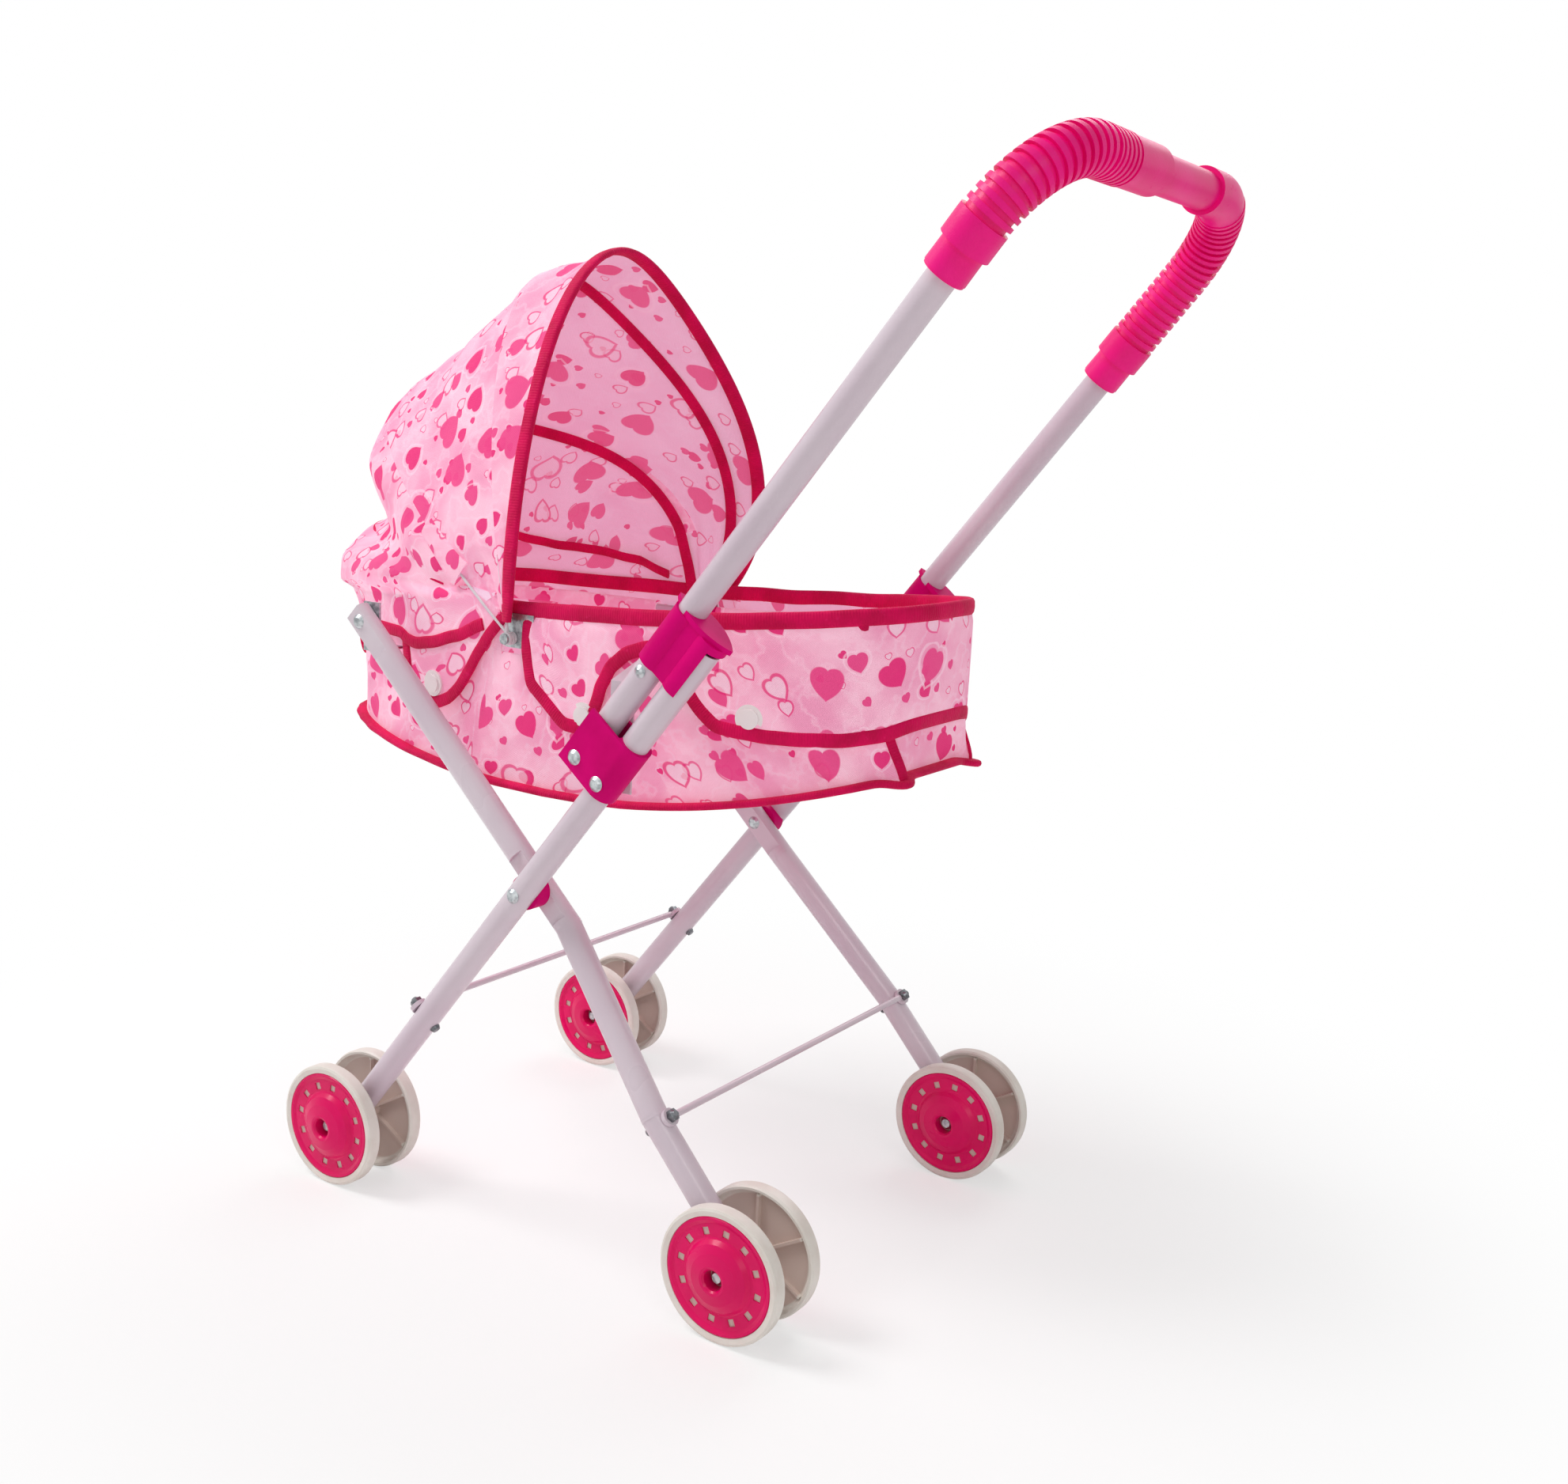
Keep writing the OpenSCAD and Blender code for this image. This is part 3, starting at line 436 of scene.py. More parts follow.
class NodeSheet:
    """The nodes of one material or of the world."""

    def __init__(self, name: str, owner: bpy.types.World | None = None) -> None:
        """Starts an empty material of that name, or empties the world that is given.

        Args:
            name: Name of a new material.
            owner: The world, where the nodes are its own.
        """
        self.owner = owner or bpy.data.materials.new(name)
        self.owner.use_nodes = True
        self.tree = self.owner.node_tree
        self.tree.nodes.clear()

    def add(self, kind: str, settings: dict[str, object], sockets: dict[int | str, object],
            out: int | str = 0) -> Wire:
        """Adds a node.

        Args:
            kind: The node's type.
            settings: Its settings, set before its sockets.
            sockets: Values or wires for its inputs.
            out: The output to return.

        Returns:
            That output.
        """
        node = self.tree.nodes.new(kind)
        for key, value in settings.items():
            setattr(node, key, value)
        for key, value in sockets.items():
            if isinstance(value, Wire):
                self.tree.links.new(value.socket, node.inputs[key])
            else:
                node.inputs[key].default_value = value
        return Wire(self, node.outputs[out] if node.outputs else None)

    def mix(self, share: Wire | float, first: Wire | Colour, second: Wire | Colour) -> Wire:
        """Mixes two colours: first where share is 0, second where it is 1."""
        return self.add("ShaderNodeMix", {"data_type": "RGBA"}, {0: share, 6: first, 7: second}, 2)

    def vector(self, operation: str, *vectors: Wire | tuple) -> Wire:
        """Vector Math on some vectors."""
        return self.add("ShaderNodeVectorMath", {"operation": operation}, dict(enumerate(vectors)))

    def split(self, vector: Wire) -> tuple[Wire, Wire, Wire]:
        """A vector's three numbers."""
        x = self.add("ShaderNodeSeparateXYZ", {}, {0: vector})
        return x, x.beside(1), x.beside(2)

    def noise(self, where: Wire, waves: Waves) -> Wire:
        """Noise from 0 to 1, given its waves a metre and their detail."""
        return self.add("ShaderNodeTexNoise", {}, {"Vector": where, "Scale": waves[0], "Detail": waves[1]})

    def bump(self, height: Wire, strength: float, distance: float) -> Wire:
        """Surface relief of that height, as deep as distance in metres."""
        return self.add("ShaderNodeBump", {},
                        {"Height": height, "Strength": strength, "Distance": distance})

    def coordinates(self, kind: str) -> Wire:
        """Object coordinates, or the piece's own flat pattern."""
        return self.add("ShaderNodeTexCoord", {}, {}, kind)

    def finish(self, sockets: dict[str, object]) -> bpy.types.Material:
        """Ends the sheet in a Principled surface.

        Args:
            sockets: Values or wires for the surface's inputs.

        Returns:
            The material.
        """
        surface = self.add("ShaderNodeBsdfPrincipled", {}, sockets)
        self.add("ShaderNodeOutputMaterial", {}, {0: surface})
        return self.owner


# ---- Finishes ------------------------------------------------------------------------------


@dataclass(frozen=True)
class HeartRun:
    """One run of the heart print, a heart a cell at most.

    Attributes:
        cell: Size of a cell in metres.
        shift: Where the cells start, in cells.
        size: Smallest and largest half width of a heart, in cells.
        wander: How far a heart moves from its cell's middle, in cells.
        present: Share of the cells that have a heart.
        solid: Share of the hearts that are filled with ink.
    """

    cell: float
    shift: tuple[float, float]
    size: tuple[float, float]
    wander: float
    present: float
    solid: float


@dataclass(frozen=True)
class HeartCloth:
    """Thin woven polyester printed with scattered hearts of several sizes on marbled pink.

    Attributes:
        glow_dimming: Share of black mixed into the base colour, to make up for the painted glow.
        glow: Strength of a painted glow: the cloth's colour is emitted, standing in for light through it.
        threads: Waves of the weave a metre.
        fill: Where a heart's ink ends, in half widths, as the other edges are given.
        ring: Inner edge of an outlined heart's ring.
        halo: Inner and outer edge of the pale line round some hearts.
    """

    ground: Colour = tint(236, 152, 186)
    pale: Colour = tint(248, 190, 212)
    vein: Colour = tint(252, 206, 224)
    hot: Colour = tint(226, 40, 118)
    soft: Colour = tint(230, 76, 138)
    filling: Colour = tint(240, 200, 218)
    reverse: Colour = tint(238, 206, 228)
    dark: Colour = tint(0, 0, 0)
    # Painted glow: the next two fields darken the base colour and emit the cloth's colour, for light through
    # the cloth.
    glow_dimming: float = 0.12
    glow: float = 0.3
    threads: float = 5200.0
    relief: float = 0.0016
    mottle: Waves = (26, 4)
    marble: Waves = (48, 5)
    limp: Waves = (90, 4)
    fill: tuple[float, float] = (0.9, 1.0)
    ring: tuple[float, float] = (0.68, 0.78)
    halo: tuple[tuple[float, float], tuple[float, float]] = ((1.12, 1.2), (1.3, 1.38))
    runs: tuple[HeartRun, ...] = (
        HeartRun(0.0112, (0.4, 0.7), (0.15, 0.26), 0.4, 0.32, 0.6),
        HeartRun(0.0185, (5.1, 2.3), (0.21, 0.31), 0.34, 0.54, 0.45),
        HeartRun(0.0290, (9.7, 4.6), (0.24, 0.33), 0.3, 0.8, 0.62))

    def stamp(self, sheet: NodeSheet, colour: Wire, pattern: Wire, run: HeartRun) -> Wire:
        """Prints one run of hearts over a colour.

        Args:
            sheet: The material.
            colour: The cloth's colour so far.
            pattern: The cloth's flat pattern in metres.
            run: The run.

        Returns:
            The colour with the hearts on it.
        """
        scaled = sheet.vector("MULTIPLY", pattern, (1 / run.cell, 1 / run.cell, 0.0))
        placed = sheet.vector("ADD", scaled, (*run.shift, 0.0))
        number = sheet.vector("FLOOR", placed)
        chance = sheet.add("ShaderNodeTexWhiteNoise", {"noise_dimensions": "2D"}, {"Vector": number},
                           "Color")
        single = chance.beside("Value")
        _, kind, large = sheet.split(chance)
        off = -0.5 - run.wander / 2
        drift = sheet.vector("MULTIPLY_ADD", chance, (run.wander, run.wander, 0.0), (off, off, 0.0))
        turned = sheet.add("ShaderNodeVectorRotate", {"rotation_type": "Z_AXIS"}, {
            "Vector": sheet.vector("ADD", sheet.vector("SUBTRACT", placed, number), drift),
            "Angle": (single - 0.5) * 1.5})
        x, y, _ = sheet.split(turned)
        half = run.size[0] + (run.size[1] - run.size[0]) * large
        x, y = abs(x / half), y / half
        lift = y * 1.08 + 0.14 - 0.5 * x.math("POWER", 0.6)
        out = (x * x + lift * lift).math("SQRT")
        shown = single < run.present
        inside = shown * (1 - out.step(*self.fill))
        solid = inside * (kind < run.solid)
        outlined = inside * (kind > run.solid)
        edge = out.step(*self.ring)
        inner, outer = self.halo
        halo = shown * (kind < run.solid * 0.4) * out.step(*inner) * (1 - out.step(*outer))
        colour = sheet.mix(halo * 0.55, colour, self.vein)
        colour = sheet.mix(outlined * (1 - edge) * 0.65, colour, self.filling)
        ink = sheet.mix(large.step(0.3, 0.75) * 0.8, self.hot, self.soft)
        return sheet.mix(solid * 0.96 + outlined * edge * 0.8, colour, ink)

    def build(self) -> bpy.types.Material:
        """Builds the nodes.

        Returns:
            The material.
        """
        sheet = NodeSheet("heart_cloth")
        pattern = sheet.coordinates("UV")
        mottle = sheet.noise(pattern, self.mottle)
        marble = sheet.noise(pattern, self.marble)
        colour = sheet.mix(mottle.step(0.34, 0.68), self.ground, self.pale)
        colour = sheet.mix((1 - abs(marble - 0.5).step(0.0, 0.045)) * 0.34, colour, self.vein)
        lining = sheet.add("ShaderNodeAttribute", {"attribute_name": "lining"}, {}, "Fac")
        colour = sheet.mix(lining * 0.7, colour, self.reverse)
        for run in self.runs:
            colour = self.stamp(sheet, colour, pattern, run)
        colour = sheet.mix(lining * 0.14, colour, self.reverse)
        u, v, _ = sheet.split(pattern)
        weave = (u * self.threads).math("SINE") * (v * self.threads).math("SINE")
        limp = sheet.noise(sheet.coordinates("Object"), self.limp)
        # Painted glow: the cloth's colour is emitted and its base colour darkened to match, for light
        # through the cloth.
        return sheet.finish({
            "Base Color": sheet.mix(self.glow_dimming, colour, self.dark), "Roughness": 0.74 + 0.1 * mottle,
            "Specular IOR Level": 0.18, "Sheen Weight": 0.08, "Sheen Roughness": 0.45,
            "Emission Color": colour, "Emission Strength": self.glow,
            "Normal": sheet.bump(limp + 0.06 * weave, 0.55, self.relief)})


@dataclass(frozen=True)
class BindingTape:
    """Crimson-pink woven tape, ribbed across, a little worn and flecked with paler thread."""

    base: Colour = tint(224, 0, 88)
    deep: Colour = tint(202, 0, 74)
    thread: Colour = tint(234, 36, 112)
    threads: float = 4400.0
    relief: float = 0.0012
    wear: Waves = (70, 4)
    puckers: Waves = (260, 2)

    def build(self) -> bpy.types.Material:
        """Builds the nodes.

        Returns:
            The material.
        """
        sheet = NodeSheet("binding_tape")
        u, _, _ = sheet.split(sheet.coordinates("UV"))
        around = sheet.coordinates("Object")
        worn = sheet.noise(around, self.wear)
        ribs = (u * self.threads).math("SINE")
        puckers = sheet.noise(around, self.puckers)
        colour = sheet.mix(worn.step(0.35, 0.68), self.deep, self.base)
        colour = sheet.mix(puckers.step(0.66, 0.74) * 0.35, colour, self.thread)
        return sheet.finish({
            "Base Color": colour, "Roughness": 0.62 + 0.14 * worn, "Specular IOR Level": 0.15,
            "Sheen Weight": 0.04, "Normal": sheet.bump(0.12 * ribs + puckers, 0.5, self.relief)})


@dataclass(frozen=True)
class Enamel:
    """Glossy pale powder coat on steel tube, a little uneven, with faint handling marks."""

    base: Colour = tint(216, 202, 211)
    shade: Colour = tint(208, 190, 202)
    relief: float = 0.0002
    cloud: Waves = (14, 3)
    grain: Waves = (900, 2)
    mark_size: tuple[float, float, float] = (60.0, 900.0, 60.0)

    def build(self) -> bpy.types.Material:
        """Builds the nodes.

        Returns:
            The material.
        """
        sheet = NodeSheet("tube_enamel")
        where = sheet.coordinates("Object")
        cloud = sheet.noise(where, self.cloud)
        grain = sheet.noise(where, self.grain)
        stretched = sheet.add("ShaderNodeMapping", {}, {"Vector": where, "Scale": self.mark_size})
        marks = sheet.noise(stretched, (1.0, 2)).step(0.68, 0.74)
        colour = sheet.mix(cloud.step(0.3, 0.7), self.base, self.shade)
        return sheet.finish({
            "Base Color": colour, "Roughness": 0.24 + 0.1 * cloud + 0.16 * marks,
            "Coat Weight": 0.35, "Coat Roughness": 0.12, "Specular IOR Level": 0.5,
            "Normal": sheet.bump(grain, 0.25, self.relief)})


@dataclass(frozen=True)
class Moulding:
    """Injection-moulded plastic, faintly cloudy, with fine texture and handling wear."""

    name: str
    base: Colour
    shade: Colour
    roughness: float = 0.3
    grain: float = 0.2
    coat: float = 0.0
    gloss: float = 0.25
    relief: float = 0.0002
    cloud: Waves = (35, 3)
    fine: Waves = (1400, 2)
    scuffs: Waves = (300, 5)

    def build(self) -> bpy.types.Material:
        """Builds the nodes.

        Returns:
            The material.
        """
        sheet = NodeSheet(self.name)
        where = sheet.coordinates("Object")
        cloud = sheet.noise(where, self.cloud)
        fine = sheet.noise(where, self.fine)
        scuffs = sheet.noise(where, self.scuffs).step(0.62, 0.72)
        colour = sheet.mix(cloud.step(0.3, 0.72), self.base, self.shade)
        return sheet.finish({
            "Base Color": colour, "Roughness": self.roughness + 0.08 * cloud + 0.12 * scuffs,
            "Specular IOR Level": self.gloss, "Coat Weight": self.coat, "Coat Roughness": 0.1,
            "Normal": sheet.bump(fine, self.grain, self.relief)})


@dataclass(frozen=True)
class WheelShell:
    """Off-white wheel moulding; its web inside web_radius is painted darker pinkish beige, a painted shade
    tinted as if the disc showed through.
    """

    name: str
    axle: tuple[float, float]
    rim: Colour = tint(232, 228, 220)
    dusty: Colour = tint(222, 214, 205)
    # Painted shade colour for the web, standing in for its shadow and for the disc showing through.
    web_painted_shade: Colour = tint(206, 184, 174)
    web_radius: float = 0.0286
    web_edge: float = 0.0012
    relief: float = 0.0002
    cloud: Waves = (60, 4)
    fine: Waves = (900, 3)

    def build(self) -> bpy.types.Material:
        """Builds the nodes.

        Returns:
            The material.
        """
        sheet = NodeSheet(self.name)
        where = sheet.coordinates("Object")
        centred = sheet.add("ShaderNodeMapping", {}, {
            "Vector": where, "Location": (-self.axle[0], 0.0, -self.axle[1])})
        x, _, z = sheet.split(centred)
        out = (x * x + z * z).math("SQRT")
        cloud = sheet.noise(where, self.cloud)
        colour = sheet.mix(cloud.step(0.35, 0.75), self.rim, self.dusty)
        # Painted shade: the web inside web_radius is darkened to pinkish beige, as if in shadow with the
        # disc showing through.
        web_shade_share = out.step(self.web_radius + self.web_edge, self.web_radius) * 0.9
        colour = sheet.mix(web_shade_share, colour, self.web_painted_shade)
        return sheet.finish({
            "Base Color": colour, "Roughness": 0.38 + 0.14 * cloud, "Specular IOR Level": 0.5,
            "Normal": sheet.bump(sheet.noise(where, self.fine), 0.2, self.relief)})


@dataclass(frozen=True)
class PlatedSteel:
    """Zinc-plated steel with fine rolling marks."""

    name: str = "plated_steel"
    base: Colour = tint(205, 210, 212)
    dull: Colour = tint(150, 156, 160)
    relief: float = 0.0002
    cloud: Waves = (420, 4)

    def build(self) -> bpy.types.Material:
        """Builds the nodes.

        Returns:
            The material.
        """
        sheet = NodeSheet(self.name)
        cloud = sheet.noise(sheet.coordinates("Object"), self.cloud)
        colour = sheet.mix(cloud.step(0.35, 0.7), self.base, self.dull)
        return sheet.finish({
            "Base Color": colour, "Metallic": 0.95, "Roughness": 0.22 + 0.2 * cloud,
            "Normal": sheet.bump(cloud, 0.2, self.relief)})


class Finishes:
    """Every material of the stroller, made once, and the fastening of what wears them."""

    def __init__(self) -> None:
        """Makes the materials."""
        self.cloth = HeartCloth().build()
        self.tape = BindingTape().build()
        self.enamel = Enamel().build()
        self.magenta = Moulding("magenta_moulding", tint(222, 0, 118), tint(206, 0, 106),
                                roughness=0.42, gloss=0.05).build()
        self.grip = Moulding("grip_moulding", tint(250, 8, 136), tint(240, 4, 122),
                             roughness=0.34, grain=0.35, gloss=0.26).build()
        self.disc = Moulding("disc_moulding", tint(234, 0, 102), tint(222, 0, 94),
                             roughness=0.24, grain=0.12, coat=0.08, gloss=0.18).build()
        self.steel = PlatedSteel().build()
        self.dark_steel = PlatedSteel("dark_steel", tint(128, 130, 134), tint(96, 98, 102)).build()
        self.hoop = Moulding("hoop_coating", tint(226, 220, 224), tint(208, 202, 208),
                             grain=0.1, coat=0.2).build()
        self.pearl = Moulding("pearl_snap", tint(246, 238, 238), tint(236, 222, 226),
                              roughness=0.22, grain=0.08, coat=0.6).build()

    @staticmethod
    def paint_nodes(nodes: Sequence[str], material: bpy.types.Material) -> None:
        """Gives nodes of the frame their material.

        Args:
            nodes: Names of the nodes.
            material: Their material.
        """
        for node in nodes:
            for slot in frame["nodes"][node].material_slots:
                slot.material = material
            LOG.info("finished %s in %s", node, material.name)

    def fit(self, piece: bpy.types.Object, material: bpy.types.Material, body: str | None = "frame",
            nodes: Sequence[str] = ()) -> None:
        """Dresses a new soft piece and fastens it.

        Args:
            piece: The new piece.
            material: Its only material.
            body: The body that it rides on, or none to leave it unfastened.
            nodes: Nodes that it stands for.
        """
        piece.data.materials.clear()
        piece.data.materials.append(material)
        if nodes:
            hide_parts(*nodes)
        if body:
            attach(piece, body)
        LOG.info("made %s: %d faces", piece.name, len(piece.data.polygons))


# ---- Hard parts ----------------------------------------------------------------------------


@dataclass
class Chassis:
    """Tubes, wires, rivets, mouldings and grips that keep their solids."""

    finishes: Finishes

    def build(self) -> None:
        """Finishes the frame's own nodes."""
        coats = self.finishes
        for material, nodes in (
                (coats.enamel, ["front_leg_left", "front_leg_right", "rear_leg_left", "rear_leg_right",
                                "handle_tube", "front_cross_wire", "rear_cross_wire", "rim_wire",
                                "rim_hangers"]),
                (coats.magenta, ["hinge_bracket_left", "hinge_bracket_right", "slider_left",
                                 "slider_right", "crossing_spacers", "canopy_clamps"]),
                (coats.grip, ["grip_left", "grip_right", "crossbar_sleeve"]),
                (coats.steel, ["crossing_rivets", "bracket_rivets", "handle_pivot_rivets",
                               "slider_stop_rivets", "leg_top_rivets", "rim_tabs", "canopy_pivots",
                               "axle_front_left", "axle_front_right", "axle_rear_left",
                               "axle_rear_right"]),
                (coats.dark_steel, ["front_wire_bolts", "rear_wire_bolts"]),
                (coats.hoop, ["canopy_hoop_front", "canopy_hoop_middle", "canopy_hoop_rear"]),
                (coats.pearl, ["band_snaps"])):
            coats.paint_nodes(nodes, material)


@dataclass
class Wheels:
    """Eight wheels, each a pale shell with a pressed-in disc."""

    finishes: Finishes

    def build(self) -> None:
        """Finishes every wheel and disc."""
        for end in ("front", "rear"):
            low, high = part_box(f"wheel_{end}_left_outer")
            axle = ((low.x + high.x) / 2, (low.z + high.z) / 2)
            shell = WheelShell(f"wheel_shell_{end}", axle).build()
            places = [f"{end}_{side.word}_{place}" for side in Side for place in ("outer", "inner")]
            self.finishes.paint_nodes([f"wheel_{place}" for place in places], shell)
            self.finishes.paint_nodes([f"disc_{place}" for place in places], self.finishes.disc)


# ---- Basket --------------------------------------------------------------------------------


@dataclass
class BasketShape:
    """The surface that the basket's cloth follows.

    Attributes:
        centre_x: Middle of the tub along the stroller.
        rim_corner: How square the rim's corners are, 1 being an ellipse's.
        floor_rise: Rise of the bottom at the head end and at the handle end.
        floor_taper: Share of the width that the bottom loses at its ends.
    """

    centre_x: float
    half_length: float
    half_width: float = 0.079
    rim_low: float = 0.329
    rim_rise: float = 0.018
    rim_corner: float = 0.77
    floor_low: float = 0.232
    floor_rise: tuple[float, float] = (0.018, 0.033)
    floor_inset: float = 0.006
    floor_corner: float = 0.4
    floor_taper: float = 0.36
    wall_curve: float = 0.8
    wall_belly: float = 0.02

    def inside(self, z: float, shift: float = 0.0) -> Vector:
        """A point of the tub's middle at height z, shifted along the stroller."""
        return Vector((self.centre_x + shift, 0, z))

    def rim_height(self, u: float) -> float:
        """Height of the rim at u from the basket's middle."""
        return self.rim_low + self.rim_rise * ((u + self.half_length) / (2 * self.half_length)) ** 3

    def floor_height(self, u: float) -> float:
        """Height of the bottom at u from the basket's middle."""
        return self.floor_low + self.floor_rise[0 if u < 0 else 1] * (u / self.half_length) ** 2

    def rim(self, turn: float, out: float = 0.0) -> Vector:
        """A point of the rim.

        Args:
            turn: Degrees from the handle end, positive to the right.
            out: How far to grow the outline outwards.

        Returns:
            Its place.
        """
        u = (self.half_length + out) * signed_power(math.cos(math.radians(turn)), self.rim_corner)
        y = (self.half_width + out) * signed_power(math.sin(math.radians(turn)), self.rim_corner)
        return Vector((self.centre_x + u, y, self.rim_height(u)))

    def floor(self, turn: float, out: float = 0.0) -> Vector:
        """A point of the bottom's outline.

        Args:
            turn: Degrees from the handle end, positive to the right.
            out: How far to grow the outline outwards.

        Returns:
            Its place.
        """
        cosine, sine = math.cos(math.radians(turn)), math.sin(math.radians(turn))
        u = (self.half_length - self.floor_inset + out) * signed_power(cosine, self.floor_corner)
        share = 1 - self.floor_taper * (u / self.half_length) ** 2
        y = (self.half_width + out) * share * signed_power(sine, self.floor_corner)
        return Vector((self.centre_x + u, y, self.floor_height(u)))

    def wall(self, turn: float, height: float, out: float = 0.0) -> Vector:
        """A point of the wall.

        Args:
            turn: Degrees from the handle end, positive to the right.
            height: From the bottom (0) to the rim (1).
            out: How far to grow the tub outwards.

        Returns:
            Its place.
        """
        low, high = self.floor(turn, out), self.rim(turn, out)
        share = signed_power(height, self.wall_curve)
        belly = 1 + self.wall_belly * math.sin(math.pi * height)
        return Vector((low.x + (high.x - low.x) * share, (low.y + (high.y - low.y) * share) * belly,
                       low.z + (high.z - low.z) * height))

    def wall_normal(self, turn: float, height: float) -> Vector:
        """Outward normal of the wall.

        Args:
            turn: Degrees from the handle end, positive to the right.
            height: From the bottom (0) to the rim (1).

        Returns:
            The normal.
        """
        along = self.wall(turn + 0.5, height) - self.wall(turn - 0.5, height)
        up = self.wall(turn, height + 0.02) - self.wall(turn, max(height - 0.02, 0.0))
        return along.cross(up).normalized()

    def side_height(self, turn: float, z: float) -> float:
        """How high up the wall (0 to 1) the height z lies."""
        low, high = self.floor(turn).z, self.rim(turn).z
        return (z - low) / (high - low)


class Crease(NamedTuple):
    """A diagonal crease of the wall, from a turn and height at its top to those at its low end."""

    turn_top: float
    high: float
    turn_low: float
    low: float
    depth: float
    width: float = 3.4

    def at(self, turn: float, height: float) -> float:
        """How far the crease moves the wall outwards at a turn and height, on both sides alike.

        Args:
            turn: Degrees from the handle end, positive to the right.
            height: From the bottom (0) to the rim (1).

        Returns:
            The distance in metres.
        """
        share = clamp((height - self.low) / (self.high - self.low))
        centre = self.turn_low + (self.turn_top - self.turn_low) * share
        off = (abs(turn) - centre) / self.width
        fade = math.sin(math.pi * clamp((height - self.low + 0.04) / (self.high - self.low + 0.1)))
        return self.depth * fade * (math.exp(-off * off) - 0.7 * math.exp(-(off - 1.6) ** 2))


# Creases of the lower wall, near the handle end and below the hood's flaps
CREASES = (
    Crease(52.0, 0.42, 40.0, 0.0, 0.0032), Crease(66.0, 0.5, 60.0, 0.05, 0.002),
    Crease(118.0, 0.5, 108.0, 0.1, 0.0024), Crease(131.0, 0.7, 138.0, 0.05, 0.0022),
    Crease(33.0, 0.5, 27.0, 0.0, 0.0022), Crease(15.0, 0.55, 12.0, 0.02, 0.0024))

# How far below the rim the outer band's edge hangs, by the distance from the basket's middle
BAND_DEPTH = (
    (-0.0103, 0.009), (-0.0085, 0.013), (-0.006, 0.0247), (-0.0025, 0.038), (0.0005, 0.0529),
    (0.0029, 0.0577), (0.0067, 0.0591), (0.0105, 0.0585), (0.015, 0.0530), (0.0183, 0.0470),
    (0.0245, 0.0354), (0.0334, 0.0254), (0.0446, 0.0188), (0.0585, 0.0154), (0.066, 0.0185),
    (0.0715, 0.030), (0.0769, 0.0439), (0.0801, 0.0482), (0.0839, 0.0525), (0.0979, 0.0548),
    (0.1127, 0.0569), (0.1347, 0.0587), (0.156, 0.0602), (0.176, 0.0597), (0.190, 0.0562))


